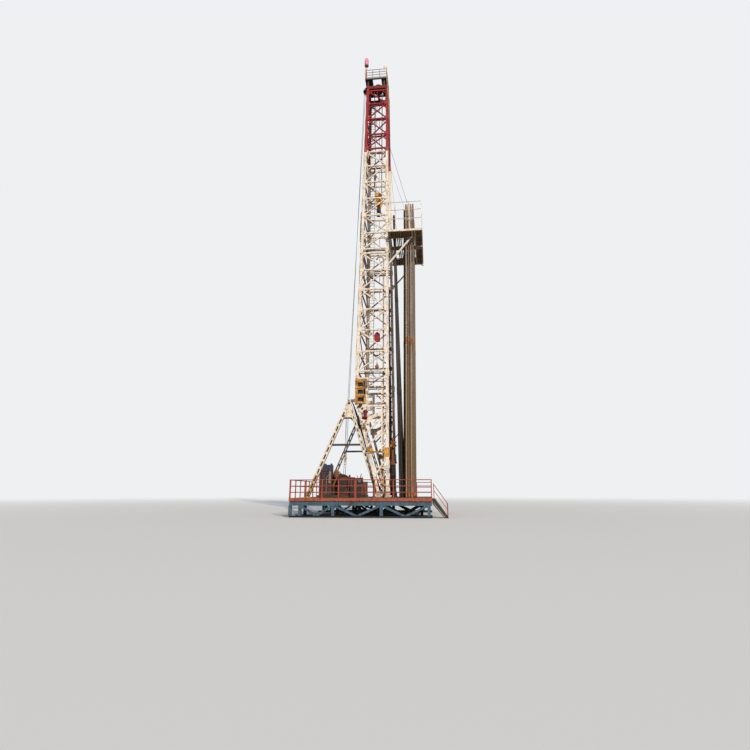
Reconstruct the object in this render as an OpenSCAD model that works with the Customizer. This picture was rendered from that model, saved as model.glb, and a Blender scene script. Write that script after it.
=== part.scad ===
// Land rotary drilling rig with an open-fronted mast, at half the real size.
// X runs from the drawworks (rear, minus) to the racked pipe (front, plus), Y to the far side, Z up.
// The origin is on the ground, in the middle of the part's outline; the mast line runs through it.

/* [Drill floor] */
// Length of the drill floor, rear to front
floor_len = 5200; // [5000:20:5400]
// Width of the drill floor, near side to far side
floor_wid = 6000; // [5700:20:6300]
// From the mast line back to the rear edge of the floor
floor_rear = 2880; // [2830:10:2930]
// Height of the deck surface above the ground
floor_z = 665; // [620:5:740]
// Thickness of the deck plate
deck_t = 16; // [10:1:24]
// Height of the red band round the floor
band_h = 96; // [80:2:120]
// Thickness of the red band
band_t = 14; // [10:1:20]
// Height of the blue floor beams
beam_h = 160; // [130:5:180]
// Width of the blue floor beams
beam_w = 92; // [80:2:110]
// Plate thickness of the rolled beams
beam_t = 14; // [10:1:18]
// Height of the skid runners on the ground
skid_h = 62; // [50:2:90]
// Width of the legs under the floor
leg_w = 108; // [90:2:120]

/* [Well] */
// From the mast line forward to the well
well_x = 146; // [120:2:170]
// Radius of the turntable
table_r = 300; // [250:5:340]
// Radius of the bore through the turntable
table_bore = 110; // [80:5:140]

/* [Railings] */
// Height of the floor railing
rail_h = 650; // [560:10:720]
// Diameter of the rail tubes
rail_d = 30; // [22:1:38]
// Width of the railing posts
post_w = 34; // [26:1:42]
// Number of bays in each half of the long railings
rail_bays = 4; // [3:1:5]
// Length of the rear half of the long railings
rail_rear = 2440; // [2300:20:2600]
// Width of the braces under the floor
under_brace = 74; // [60:2:84]
// Width of the stair
stair_w = 460; // [400:10:560]
// How far the stair reaches out
stair_run = 560; // [500:10:640]
// Number of stair treads
stair_treads = 4; // [3:1:5]

/* [Mast] */
// From the mast line forward to the front chords
mast_front = 650; // [630:5:670]
// From the mast line back to the rear chords at the first joint
mast_rear = 608; // [590:2:630]
// From the mast line back to the rear chords at the top
mast_rear_top = 360; // [340:5:380]
// Half the width over the chords at the feet
mast_foot_y = 2000; // [1950:10:2050]
// Half the width over the chords at the top
mast_top_y = 520; // [490:5:550]
// Height of the first joint above the ground
joint_z = 5560; // [5500:10:5620]
// Height of one bay of the two middle sections
bay_h = 975; // [960:5:990]
// Number of bays in each middle section
bays = 6; // [6:2:6]
// Height of one bay of the red top section
top_bay_h = 1030; // [1000:5:1060]
// Number of bays in the red top section
top_bays = 4; // [4:2:4]
// Width of the mast chords
chord_w = 120; // [110:2:140]
// Width of the level bars of the mast
strut_w = 66; // [60:2:76]
// Width of the sloping bars of the mast
brace_w = 52; // [46:2:58]
// Height of the hinge shoes under the mast feet
shoe_h = 150; // [120:5:180]

/* [Support frames] */
// Height of the tops of the support frames
apex_z = 4420; // [4390:10:4450]
// From the mast line back to the tops of the support frames
apex_x = 917; // [905:2:930]
// From the mast line back to the rear feet
rear_foot = 2500; // [2450:10:2550]
// From the mast line forward to the front feet
front_foot = 270; // [250:10:290]
// Width of the frame legs
frame_w = 132; // [120:2:150]
// Height of the level tie
tie_z = 2660; // [2540:20:2780]
// Bottom of the yellow columns
column_z0 = 4250; // [4220:10:4300]
// Top of the yellow columns
column_z1 = 5290; // [5250:10:5330]

/* [Crown] */
// Height of the crown beams
crown_h = 130; // [110:5:150]
// Radius of the sheaves over the rope
sheave_r = 235; // [215:5:255]
// Number of sheaves in the crown
crown_sheaves_n = 5; // [4:1:6]
// Spacing of the sheaves along their axle
sheave_pitch = 62; // [56:1:70]
// Height of the crown walkway above the mast top
walk_z = 640; // [620:5:700]
// Height of the crown railing
crown_rail_h = 590; // [520:10:640]
// Height of the beacon above the crown walkway
beacon_h = 1420; // [1300:10:1500]

/* [Racking board] */
// Height of the board above the ground
board_z = 12150; // [12100:10:12200]
// From the mast line to the front edge of the board
board_front = 2285; // [2250:5:2320]
// Half the width of the board
board_y = 1750; // [1700:10:1800]
// Depth of the board beams
board_beam = 90; // [80:2:100]
// Half the open width between the side walkways of the board
walk_in = 1100; // [1080:5:1130]
// Height of the board fence
fence_h = 1440; // [1300:10:1500]
// Width of the front walkway
board_walk = 370; // [340:5:390]

/* [Racked pipe] */
// Length of one stand
stand_len = 13220; // [13100:10:13350]
// Diameter of the drill pipe
pipe_d = 64; // [58:1:68]
// Diameter of the drill collars
collar_d = 90; // [80:1:96]
// From the mast line to the first column of pipe
pipe_x0 = 1205; // [1190:5:1220]
// Columns of pipe
pipe_columns = 5; // [4:1:5]
// Spacing of the pipe columns
pipe_pitch = 105; // [102:1:108]
// From the mast line to the leaning collars
collar_x0 = 1075; // [1060:5:1085]
// Length of the collars
collar_len = 12650; // [12500:10:12800]
// From the mast line to the tops of the collars
collar_top = 960; // [945:5:975]
// Spacing of the stands along a finger
row_pitch = 150; // [145:1:155]
// Stands along each finger
row_n = 5; // [4:1:5]
// Width of a finger
finger_w = 14; // [12:1:16]
// How far forward a pipe stand leans at its top
pipe_lean = 240; // [220:5:250]

/* [Hoisting] */
// Bottom of the travelling block above the ground
block_z = 14500; // [14400:20:14700]
// Height of the travelling block
block_h = 700; // [660:10:740]
// Thickness of the plates of the travelling block
block_t = 24; // [20:1:30]
// Radius of the sheaves in the travelling block
block_r = 190; // [180:5:200]
// Diameter of the drilling line
line_d = 18; // [14:1:24]

/* [Drawworks and swivel] */
// From the mast line to the drum of the drawworks
dw_x = -1520; // [-1540:5:-1500]
// Radius of the drum
drum_r = 190; // [170:5:210]
// Height of the drum above the floor
drum_h = 560; // [540:5:600]
// Length of the drum between its flanges
drum_len = 1300; // [1200:10:1340]
// Height of the drawworks housing at the near end
housing_h = 1240; // [1200:10:1280]
// From the mast line to the parked swivel
swivel_x = 765; // [745:5:785]
// Height of the parked swivel above the floor
swivel_h = 2225; // [2180:5:2260]

/* [Hidden] */
$fn = 48;
gap = 0.3;
mat_t = 12;
beam_z = floor_z - band_h - beam_h;
floor_x0 = -floor_rear;
floor_x1 = floor_len - floor_rear;
side_y = floor_wid / 2 - band_t - beam_w / 2;
foot_z = floor_z + shoe_h;
z1 = joint_z;
z2 = z1 + bays * bay_h;
z3 = z2 + bays * bay_h;
z4 = z3 + top_bays * top_bay_h;
joint_gap = 112;
crown_z = z4 + chord_w / 2;
axle_z = crown_z + crown_h + sheave_r + 30;
deck_z = z4 + walk_z;
blue = [0.27, 0.42, 0.50];
red = [0.78, 0.20, 0.12];
cream = [0.86, 0.83, 0.75];
dark = [0.16, 0.17, 0.18];
yellow = [0.90, 0.60, 0.10];
brown = [0.42, 0.28, 0.20];
black = [0.07, 0.07, 0.08];
steel = [0.45, 0.46, 0.47];

// Where the mast chords stand at height z
function half_y(z) = mast_foot_y + (mast_top_y - mast_foot_y) * (z - foot_z) / (z4 - foot_z);
function rear_x(z) = -(mast_rear + (mast_rear_top - mast_rear) * (z - z1) / (z4 - z1));
function front_pt(z, s) = [mast_front, s * half_y(z), z];
function rear_pt(z, s) = [rear_x(z), s * half_y(z), z];

// A square bar between two points, for frames that stand lengthwise: w in the frame, h across it
module bar_x(a, b, w, h) {
    d = b - a;
    l = norm(d);
    translate(a) rotate([-asin(d[1] / l), atan2(d[0], d[2]), 0])
        translate([-w / 2, -h / 2, 0]) cube([w, h, l]);
}
// A square bar between two points, for frames that stand crosswise
module bar_y(a, b, w, h) {
    d = b - a;
    l = norm(d);
    translate(a) rotate([atan2(-d[1], d[2]), 0, 0]) rotate([0, asin(d[0] / l), 0])
        translate([-h / 2, -w / 2, 0]) cube([h, w, l]);
}
// A round tube between two points
module tube(a, b, dia, sides = 8) {
    d = b - a;
    l = norm(d);
    translate(a) rotate([0, acos(d[2] / l), atan2(d[1], d[0])])
        cylinder(h = l, d = dia, $fn = sides);
}
// A rolled beam along X, standing on z = 0
module ibeam(len, h, w, t) {
    rotate([90, 0, 90]) linear_extrude(len) polygon([
        [-w / 2, 0], [w / 2, 0], [w / 2, t], [t / 2, t], [t / 2, h - t], [w / 2, h - t],
        [w / 2, h], [-w / 2, h], [-w / 2, h - t], [-t / 2, h - t], [-t / 2, t], [-w / 2, t]]);
}
// A railing along X from x = 0, with n bays
module railing(len, n, h, levels = [1 / 3, 2 / 3, 1]) {
    for (i = [0 : n]) translate([i * (len - post_w) / n, -post_w / 2, 0]) cube([post_w, post_w, h]);
    for (k = levels) tube([post_w / 2, 0, h * k - rail_d / 2 - 1], [len - post_w / 2, 0, h *
        k - rail_d / 2 - 1], rail_d);
}

// Frames under the floor
side_legs = [floor_x0 + 54, floor_x0 + 420, -1250, 500, floor_x1 - 130];
inner_legs = [-rear_foot, -1250, -apex_x + 500, mast_front - 60, floor_x1 - 400];
module floor_frame(y, legs) {
    translate([floor_x0 + band_t, y, beam_z]) ibeam(floor_len - 2 * band_t, beam_h, beam_w, beam_t);
    translate([floor_x0 + band_t, y, 0]) ibeam(floor_len - 2 * band_t, skid_h, beam_w, beam_t);
    for (x = legs) translate([x - leg_w / 2, y - leg_w / 2, skid_h]) cube([leg_w, leg_w, beam_z - skid_h]);
    a = legs[1];
    b = legs[2];
    c = legs[3];
    difference() {
        for (p = [[a, (a + b) / 2], [b, (a + b) / 2], [b, (b + c) / 2], [c, (b + c)
            / 2], [c, (c + legs[4]) / 2], [legs[4], (c + legs[4]) / 2]])
            bar_x([p[0], y, beam_z + beam_t - 2], [p[1], y, skid_h - 6], under_brace, under_brace - 16);
        translate([floor_x0, y - beam_w, -beam_w]) cube([floor_len, 2 * beam_w, beam_w + skid_h - 8]);
    }
}
module floor_frames() color(blue) for (s = [-1, 1]) {
    floor_frame(s * side_y, side_legs);
    floor_frame(s * mast_foot_y, inner_legs);
}
cross_x = [floor_x0 + 420, -1250, -apex_x + 500, mast_front - 60, 1450, floor_x1 - 130];
module cross_beam(x, y0, y1) translate([x, y0, beam_z]) rotate([0, 0, 90])
    ibeam(y1 - y0, beam_h, beam_w, beam_t);
module floor_beams() color(blue) {
    cross_beams();
    floor_joists();
}
module cross_beams() for (x = cross_x) {
    cross_beam(x, -side_y + beam_w / 2, -mast_foot_y - beam_w / 2);
    cross_beam(x, -mast_foot_y + beam_w / 2, mast_foot_y - beam_w / 2);
    cross_beam(x, mast_foot_y + beam_w / 2, side_y - beam_w / 2);
}
table_half = table_r + 60;
joist_w = 60;
module floor_joists() for (s = [-1, 1], i = [0 : 5]) {
    x = well_x + s * (table_half + 60 + i * 400);
    if (x > floor_x0 + 60 && x < floor_x1 - 60)
        translate([x - joist_w / 2, -floor_wid / 2 + band_t, floor_z - band_h])
            cube([joist_w, floor_wid - 2 * band_t, band_h - deck_t]);
}
module floor_band() color(red) difference() {
    translate([floor_x0, -floor_wid / 2, floor_z - band_h]) cube([floor_len, floor_wid, band_h]);
    translate([floor_x0 + band_t, -floor_wid / 2 + band_t, floor_z - band_h - 10])
        cube([floor_len - 2 * band_t, floor_wid - 2 * band_t, band_h + 20]);
}
module deck_plate() difference() {
    translate([floor_x0 + band_t, -floor_wid / 2 + band_t, floor_z - deck_t])
        cube([floor_len - 2 * band_t, floor_wid - 2 * band_t, deck_t]);
    translate([well_x - table_half - 4, -table_half - 4, floor_z - deck_t - 10])
        cube([2 * table_half + 8, 2 * table_half + 8, deck_t + 20]);
}
module drill_floor() color(dark) {
    deck_plate();
    setback_mats();
}
module rotary_table() color(steel) difference() {
    union() {
        translate([well_x - table_half, -table_half, floor_z - 120])
            cube([2 * table_half, 2 * table_half, 130]);
        translate([well_x - table_half - 30, -table_half - 30, floor_z])
            cube([2 * table_half + 60, 2 * table_half + 60, 22]);
        translate([well_x, 0, floor_z + 10]) cylinder(h = 40, r = table_r);
    }
    translate([well_x, 0, floor_z - 140]) cylinder(h = 220, r = table_bore);
}

// Railings and stair
module long_railing(y) translate([floor_x0 + 4, y, floor_z]) {
    railing(rail_rear, rail_bays, rail_h);
    translate([rail_rear + 6, 0, 0]) railing(floor_len - 8 - rail_rear - 6, rail_bays, rail_h);
}
module railing_near() color(red) long_railing(-floor_wid / 2 + post_w / 2 + 4);
module railing_far() color(red) long_railing(floor_wid / 2 - post_w / 2 - 4);
end_rail = floor_wid - 4 * post_w - 16;
module railing_rear() translate([floor_x0 + 4 + post_w / 2, -end_rail / 2, floor_z]) rotate([0, 0, 90])
    railing(end_rail, 2 * rail_bays, rail_h);
stair_y0 = -floor_wid / 2 + 2 * post_w + 12;
module railing_front() {
    y0 = stair_y0 + stair_w + 20;
    translate([floor_x1 - 4 - post_w / 2, y0, floor_z]) rotate([0, 0, 90])
        railing(end_rail / 2 - y0, 2 * rail_bays - 1, rail_h);
}
module railing_ends() color(red) {
    railing_rear();
    railing_front();
}
string_t = 16;
module stair() color([0.70, 0.71, 0.72]) {
    for (y = [stair_y0, stair_y0 + stair_w - string_t])
        translate([floor_x1, y + string_t, 0]) rotate([90, 0, 0]) linear_extrude(string_t)
            polygon([[gap, floor_z - 6], [gap, floor_z - 190], [stair_run - 150, 0], [stair_run, 0], [90,
                floor_z - 6]]);
    for (i = [0 : stair_treads]) {
        k = i / (stair_treads + 1);
        translate([floor_x1 + 20 + k * (stair_run - 120), stair_y0 + string_t / 2, (floor_z - 40)
            * (1 - k) - 8])
            cube([110, stair_w - string_t, 12]);
    }
}
module stair_rail(y) {
    x0 = floor_x1 + 60;
    x1 = floor_x1 + stair_run - 30;
    h = 470;
    top = function (x) (floor_z - 6) * (floor_x1 + stair_run - x) / (stair_run - 90);
    for (x = [x0, x1]) translate([x - 12, y - 12, max(top(x) - 60, 1)]) cube([24, 24, h + min(60, top(x)
        - 1)]);
    for (f = [0.5, 0.95]) tube([x0, y, top(x0) + h * f], [x1, y, top(x1) + h * f], 19);
}
module stair_handrails() color(red) {
    stair_rail(stair_y0 - 12 - gap);
    stair_rail(stair_y0 + stair_w + 12 + gap);
}

// Mast
function levels(z0, n, bay) =
    [for (i = [0 : n]) i == 0 ? z0 + joint_gap : i == n ? z0 + n * bay - joint_gap : z0 + i * bay];
module side_panel(z0, n, bay, s) {
    top = z0 + n * bay - gap;
    bar_x(front_pt(z0, s), front_pt(top, s), chord_w, chord_w);
    bar_x(rear_pt(z0, s), rear_pt(top, s), chord_w, chord_w);
    level = levels(z0, n, bay);
    for (z = level) bar_x(rear_pt(z, s), front_pt(z, s), strut_w, strut_w);
    for (i = [0 : n - 1]) {
        a = (i % 2 == 0) ? rear_pt(level[i], s) : front_pt(level[i], s);
        b = (i % 2 == 0) ? front_pt(level[i + 1], s) : rear_pt(level[i + 1], s);
        bar_x(a, b, brace_w, brace_w - 6 * (i % 2));
    }
}
// The back of the mast between its rear chords, out their inner faces by slack at the bars' upper edges
module back_panel(z0, n, bay, slack) {
    level = levels(z0, n, bay);
    inner = function (z) half_y(z) - chord_w / 2 - slack;
    for (z = level) bar_y([rear_x(z), -inner(z + strut_w / 2), z], [rear_x(z), inner(z + strut_w / 2), z],
        strut_w - 8, strut_w - 8);
    for (i = [0 : 2 : n - 2], s = [-1, 1]) {
        za = level[i];
        zb = level[i + 2];
        bar_y([rear_x(za), s * (inner(za) - 34), za], [rear_x(zb), -s * (inner(zb)
            - 34), zb], brace_w - 8, brace_w - 10 - 4 * s);
    }
}
module mast_lower_near() color(cream) side_panel(z1, bays, bay_h, -1);
module mast_lower_far() color(cream) side_panel(z1, bays, bay_h, 1);
module mast_lower_back() color(cream) back_panel(z1, bays, bay_h, 2 * gap);
module mast_upper_near() color(cream) side_panel(z2, bays, bay_h, -1);
module mast_upper_far() color(cream) side_panel(z2, bays, bay_h, 1);
module mast_upper_back() color(cream) back_panel(z2, bays, bay_h, 2 * gap);
module mast_top() color(red) {
    for (s = [-1, 1]) side_panel(z3, top_bays, top_bay_h, s);
    back_panel(z3, top_bays, top_bay_h, -chord_w / 3);
}

strut_x = -540;
strut_foot = 300;
strut_z0 = column_z0 - 50;
beam_mid = column_z0 - 48 - gap;
tie_low = 2355;
function strut_pt(z, s) = [strut_x + (strut_foot - strut_x) * (strut_z0 - z)
    / (strut_z0 - foot_z - 40), s * half_y(z), z];
// The lowest section: front chord, rear chord down to the column, and the rear strut down to its own shoe
module mast_foot(s) {
    zr = column_z1 + 60;
    bar_x(front_pt(foot_z + 40, s), front_pt(z1 - gap, s), chord_w, chord_w);
    bar_x(rear_pt(zr, s), rear_pt(z1 - gap, s), chord_w, chord_w);
    bar_x(rear_pt(zr, s), front_pt(zr, s), strut_w, strut_w);
    bar_x(strut_pt(strut_z0, s), strut_pt(foot_z + 40, s), 104, 92);
    bar_x([strut_x - 70, s * half_y(beam_mid), beam_mid], front_pt(beam_mid, s), 96, 78);
    // sloping plate and gusset below the column
    bar_x(strut_pt(3530, s), front_pt(4020, s), 128, 84);
    translate([-300, s * half_y(3560), 3560]) rotate([90 + 4 * s, 0, 0]) linear_extrude(70, center = true)
        difference() {
        square([300, 280], center = true);
        for (x = [-70, 70]) translate([x, 0]) circle(r = 46);
    }
    // upright with rungs beside the front chord
    xi = mast_front - 225;
    bar_x([xi, s * half_y(2420), 2420], [xi, s * half_y(zr), zr], 62, 60);
    for (i = [0 : 5]) bar_x([xi, s * half_y(2560 + i * 460), 2560 + i * 460], front_pt(2700 + i * 460, s),
        42, 46 + 2 * (i % 2));
    bar_x([xi - 10, s * half_y(4700), 4700], [column_x0 + column_w + 40, s * half_y(zr), zr], 50, 54);
    bar_x(strut_pt(3050, s), [xi, s * half_y(3700), 3700], 56, 64);
    bar_x(strut_pt(2600, s), [xi, s * half_y(3150), 3150], 48, 58);
    // bars below the level tie
    bar_x(front_pt(2240, s), strut_pt(1420, s), 58, 68);
    bar_x(strut_pt(1380, s), front_pt(1060, s), 54, 56);
    bar_x(strut_pt(1840, s), front_pt(1720, s), 44, 50);
    for (x = [mast_front, strut_foot]) translate([x - 75, s * mast_foot_y - 68, foot_z - 70]) difference() {
        cube([150, 136, 160]);
        translate([75, -10, 70]) rotate([-90, 0, 0]) cylinder(h = 160, r = pin_r + gap);
    }
}
// Level tie and its plates, bolted to the outside of each foot
leg_slope = atan((mast_foot_y - mast_top_y) / (z4 - foot_z));
module foot_ties() color(yellow) for (s = [-1, 1]) translate([0, s * half_y(tie_low), tie_low])
    rotate([s * leg_slope, 0, 0]) {
    a = strut_pt(tie_low, s)[0];
    out = chord_w / 2 + gap;
    translate([a - 30, s * (out + 12) - 12, -35]) cube([mast_front + 60 - a, 24, 70]);
    translate([a - 60, s * (out + 4) - 17, -60]) cube([200, 34, 250]);
    translate([mast_front - 120, s * (out + 9) - 9, -180]) cube([210, 18, 350]);
}
module mast_foot_near() color(cream) mast_foot(-1);
module mast_foot_far() color(cream) mast_foot(1);
pin_r = 34;
module mast_shoes() color(dark) for (s = [-1, 1], x = [mast_front, strut_foot])
    translate([x, s * mast_foot_y, floor_z]) {
    translate([-112, -145, 0]) cube([224, 290, 24]);
    for (t = [-1, 1]) translate([-95, t * (68 + gap + 14) - 14, 20]) cube([190, 28, shoe_h + 34]);
    translate([0, 0, shoe_h]) rotate([90, 0, 0]) cylinder(h = 210, r = pin_r, center = true);
}

// Support frames behind the mast
frame_y = half_y(apex_z);
apex_r = 78;
module support_frame(s) {
    y = s * frame_y;
    a = [-apex_x, y, apex_z - 64];
    r = [-rear_foot, y, floor_z + 20];
    f = [front_foot, y, floor_z + 20];
    ur = (a - r) / norm(a - r);
    uf = (a - f) / norm(a - f);
    difference() {
        union() {
            bar_x(r - ur * 60, a, frame_w, frame_w - 12);
            bar_x(f - uf * 60, a, frame_w - 16, frame_w - 20);
        }
        for (i = [1 : 14]) translate(r + ur * (i * 255)) rotate([0, atan2(ur[0], ur[2]), 0])
            cube([54, frame_w + 20, 130], center = true);
        translate([-rear_foot - 400, y - 200, floor_z - 588]) cube([rear_foot + front_foot + 800, 400, 600]);
    }
    bar_x(r + (tie_z - r[2]) / (a[2] - r[2]) * (a - r), f + (tie_z - f[2]) / (a[2] - f[2]) * (a - f), 76, 76);
    translate([-apex_x, y + 36, apex_z]) rotate([90, 0, 0]) linear_extrude(72) difference() {
        union() {
            circle(r = apex_r);
            polygon([[-apex_r, 0], [apex_r, 0], [150, -690], [-185, -690]]);
        }
        circle(r = 30);
    }
    for (p = [r, f]) translate([p[0] - 120, y - 90, floor_z]) cube([240, 180, 24]);
}
module support_frame_near() color(cream) support_frame(-1);
module support_frame_far() color(cream) support_frame(1);

// Yellow columns between support frames and mast, and the links that hold them together
column_x0 = rear_x(column_z1) - chord_w / 2;
column_w = 430;
module support_column(s) {
    z = column_z1 + 60 - strut_w / 2 - gap;
    y = s * half_y((column_z0 + column_z1) / 2);
    difference() {
        translate([column_x0, y - 60, column_z0]) cube([column_w, 120, z - column_z0]);
        for (i = [0 : 2]) translate([column_x0 + column_w / 4, y - 100, column_z0 + 130 + i * 310])
            cube([column_w / 2, 200, 170]);
    }
}
module support_column_near() color(yellow) support_column(-1);
module support_column_far() color(cream) support_column(1);
module frame_ties() color(cream) {
    in_y = frame_y - 36 - gap;
    translate([-apex_x - 60, -in_y, apex_z - 620]) cube([118, 2 * in_y, 118]);
    for (s = [-1, 1]) {
        for (t = [-1, 1]) translate([-apex_x - 30, s * frame_y + t * (36 + gap + 11) - 11, apex_z - 44])
            cube([column_x0 - gap + apex_x + 30, 22, 88]);
        translate([column_x0 - gap - 24, s * frame_y - 58, apex_z - 80]) cube([24, 116, 160]);
    }
}

// Crown
axle_r = 41;
run_fit = 0.05;
fast_r = 190;
fast_x = rear_x(z4) - chord_w / 2 - 40;
fast_z = crown_z + crown_h + fast_r + 10;
crown_y = mast_top_y + chord_w / 2;
module crown_frame() color(red) {
    x0 = rear_x(z4) - chord_w / 2;
    x1 = mast_front + chord_w / 2;
    for (s = [-1, 1]) translate([x0, s * mast_top_y - 60, z4 + 5.8])
        cube([x1 - x0, 120, crown_z + crown_h - z4 - 5.8]);
    for (x = [x0, well_x - 55, x1 - 110]) translate([x, -crown_y + 20, crown_z])
        cube([110, 2 * crown_y - 40, crown_h - 4]);
    for (s = [-1, 1]) difference() {
        translate([well_x - 90, s * (crown_sheaves_n * sheave_pitch / 2 + 26) - 15, crown_z + crown_h - 10])
            cube([180, 30, sheave_r + 130]);
        translate([well_x, s * (crown_sheaves_n * sheave_pitch / 2 + 26), axle_z]) rotate([90, 0, 0])
            cylinder(h = 60, r = axle_r + run_fit, center = true);
    }
    for (t = [-1, 1]) difference() {
        translate([fast_x - 60, t * 48 - 8, crown_z + crown_h - 6])
            cube([x0 + 110 - fast_x + 60, 16, fast_z + 66 - crown_z - crown_h]);
        translate([fast_x, t * 48, fast_z]) rotate([90, 0, 0])
            cylinder(h = 40, r = axle_r + run_fit, center = true);
    }
}
groove = 34;
rope_in = groove - line_d / 2 - gap;
module sheave(r) rotate([90, 0, 0]) rotate_extrude() polygon([
    [40, -26], [70, -26], [76, -12], [r - 50, -12], [r - 40, -25], [r, -25], [r - groove, -15],
        [r - groove, 15], [r, 25], [r - 40, 25], [r - 50, 12], [76, 12], [70, 26], [40, 26]]);
module crown_sheaves() color(dark) {
    for (i = [0 : crown_sheaves_n - 1]) translate([well_x, (i - (crown_sheaves_n - 1) / 2)
        * sheave_pitch, axle_z]) sheave(sheave_r);
    translate([well_x, 0, axle_z]) rotate([90, 0, 0])
        cylinder(h = crown_sheaves_n * sheave_pitch + 130, r = axle_r, center = true);
}
module fast_sheave() color(dark) translate([fast_x, 0, fast_z]) {
    sheave(fast_r);
    rotate([90, 0, 0]) cylinder(h = 150, r = axle_r, center = true);
}
walk_x0 = -510;
walk_x1 = 675;
walk_rear = 410;
walk_front = 320;
walk_y = 660;
module crown_platform() color(dark) {
    for (y = [-walk_y, walk_y - 60]) translate([walk_x0, y, deck_z - 70]) cube([walk_x1 - walk_x0, 60, 70]);
    translate([walk_x0, -walk_y + 10, deck_z - 40]) cube([walk_rear, 2 * walk_y - 20, 34]);
    translate([walk_x1 - walk_front, -walk_y + 10, deck_z - 40]) cube([walk_front, 2 * walk_y - 20, 34]);
    for (x = [walk_x0 + 120, walk_x1 - 200], s = [-1, 1])
        translate([x, s * mast_top_y - 40, crown_z + crown_h])
            cube([80, 80, deck_z - 36 - crown_z - crown_h]);
}
module crown_railing() color(red) {
    for (y = [-walk_y + 20, walk_y - 20]) translate([walk_x0, y, deck_z])
        railing(walk_x1 - walk_x0, 3, crown_rail_h, [0.13, 0.42, 0.71, 1]);
    for (x = [walk_x0 + 20, walk_x1 - 20], k = [0.42, 0.71, 1]) {
        z = deck_z + crown_rail_h * k - 20;
        tube([x, -walk_y + 20, z], [x, walk_y - 20, z], rail_d - 4);
    }
}
module beacon() color(red) translate([walk_x0 + 70, -walk_y + 90, deck_z - 6 + gap]) {
    cylinder(h = beacon_h - 420, r = 16);
    translate([0, 0, beacon_h - 440]) cylinder(h = 440, r = 75);
}

// Racking board
board_x0 = mast_front + chord_w / 2 + gap;
board_tail = mast_front - 110;
play = 10;
row_y0 = walk_in - 25 - play - collar_d / 2;
lean_k = (board_z - floor_z) / stand_len;
collar_fan = (pipe_x0 + pipe_pitch - pipe_d / 2 - collar_d / 2 - play - collar_x0) / 2;
board_mid = board_front - board_walk;
function collar_foot(j) = collar_x0 + j * collar_fan;
function collar_at(j) = collar_foot(j) + (collar_top - collar_foot(j)) * (board_z - floor_z) / collar_len;
module racking_board() color(cream) {
    zb = board_z - board_beam;
    for (s = [-1, 1]) {
        translate([board_tail, s * board_y - 30, zb]) cube([board_front - board_tail, 60, board_beam]);
        translate([board_x0, s * walk_in - 25, zb + 6])
            cube([board_mid - board_x0 + 30, 50, board_beam - 12]);
    }
    for (x = [board_x0, board_mid, board_front - 60]) translate([x, -board_y, zb + 2])
        cube([60, 2 * board_y, board_beam - 4]);
    translate([board_mid + 20, -25, zb - 20]) cube([board_walk - 40, 50, 50]);
    board_struts();
}
module board_walkways() color(dark) {
    x0 = board_x0 + 60 + gap;
    for (s = [-1, 1]) translate([x0, s > 0 ? walk_in + 25 + gap : -board_y + 30 + gap, board_z - 40])
        cube([board_mid - gap - x0, board_y - walk_in - 55 - 2 * gap, 34]);
    translate([board_mid + 60 + gap, -board_y + 30 + gap, board_z - 44])
        cube([board_walk - 120 - 2 * gap, 2 * board_y - 60 - 2 * gap, 38]);
    translate([x0, -190, board_z - 38]) cube([board_mid - gap - x0, 380, 32]);
}
module finger(x, s) translate([x - finger_w / 2, s > 0 ? 240 : -walk_in + 25 + gap, board_z - 34])
    cube([finger_w, walk_in - 265 - gap, 44]);
module racking_fingers() color(dark) {
    x = pipe_x0 + pipe_lean * lean_k;
    for (s = [-1, 1], i = [0 : pipe_columns]) finger(x + (i - 0.5) * pipe_pitch, s);
    side = collar_d / 2 + play + finger_w / 2;
    for (f = [collar_at(0) - side, collar_at(2) + side]) finger(f, -1);
}
fence_x = mast_front + 70;
fence_levels = [0.385, 0.7, 0.985];
module board_fence() color(cream) {
    for (s = [-1, 1], x = [fence_x + 90, fence_x + 345, fence_x + 965, board_front - post_w])
        translate([x, s * board_y - post_w / 2, board_z]) cube([post_w, post_w, fence_h]);
    x = board_front - post_w / 2;
    for (k = fence_levels) {
        z = board_z + fence_h * k;
        for (s = [-1, 1]) tube([fence_x, s * board_y, z], [x, s * board_y, z], rail_d);
        tube([x, -board_y, z - 4], [x, board_y, z - 4], rail_d - 4);
    }
}
module board_struts() for (s = [-1, 1]) {
    zl = board_z - 1500;
    bar_x([mast_front + chord_w / 2 + 40, s * half_y(zl), zl], [board_front - 450, s * board_y,
        board_z - board_beam + 8], 64, 58);
    translate([mast_front + chord_w / 2 + gap, s * half_y(zl) - 60, zl - 90]) cube([60, 120, 180]);
}

// Racked pipe
module stand(x, y, lean, dia, len) {
    z = floor_z + mat_t + gap + dia / 2 * abs(lean) / len;
    tube([x, y, z], [x + lean, y, z + len], dia, 8);
}
// The collars stand where the first near column of pipe would, three rows deep
module drill_pipe() color(brown) for (s = [-1, 1], i = [0 : pipe_columns - 1], j = [0 : row_n - 1])
    if (s > 0 || i > 0 || j > 2)
        stand(pipe_x0 + i * pipe_pitch, s * (row_y0 - j * row_pitch), pipe_lean, pipe_d, stand_len);
module drill_collars() color(black) for (j = [0 : 2])
    stand(collar_foot(j), -row_y0 + j * row_pitch, collar_top - collar_foot(j), collar_d, collar_len);
module setback_mats() for (s = [-1, 1])
    translate([collar_x0 - 80, s > 0 ? 240 : -row_y0 - 80, floor_z])
        cube([pipe_x0 + (pipe_columns - 1) * pipe_pitch - collar_x0 + 160, row_y0 - 160, mat_t]);

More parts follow.
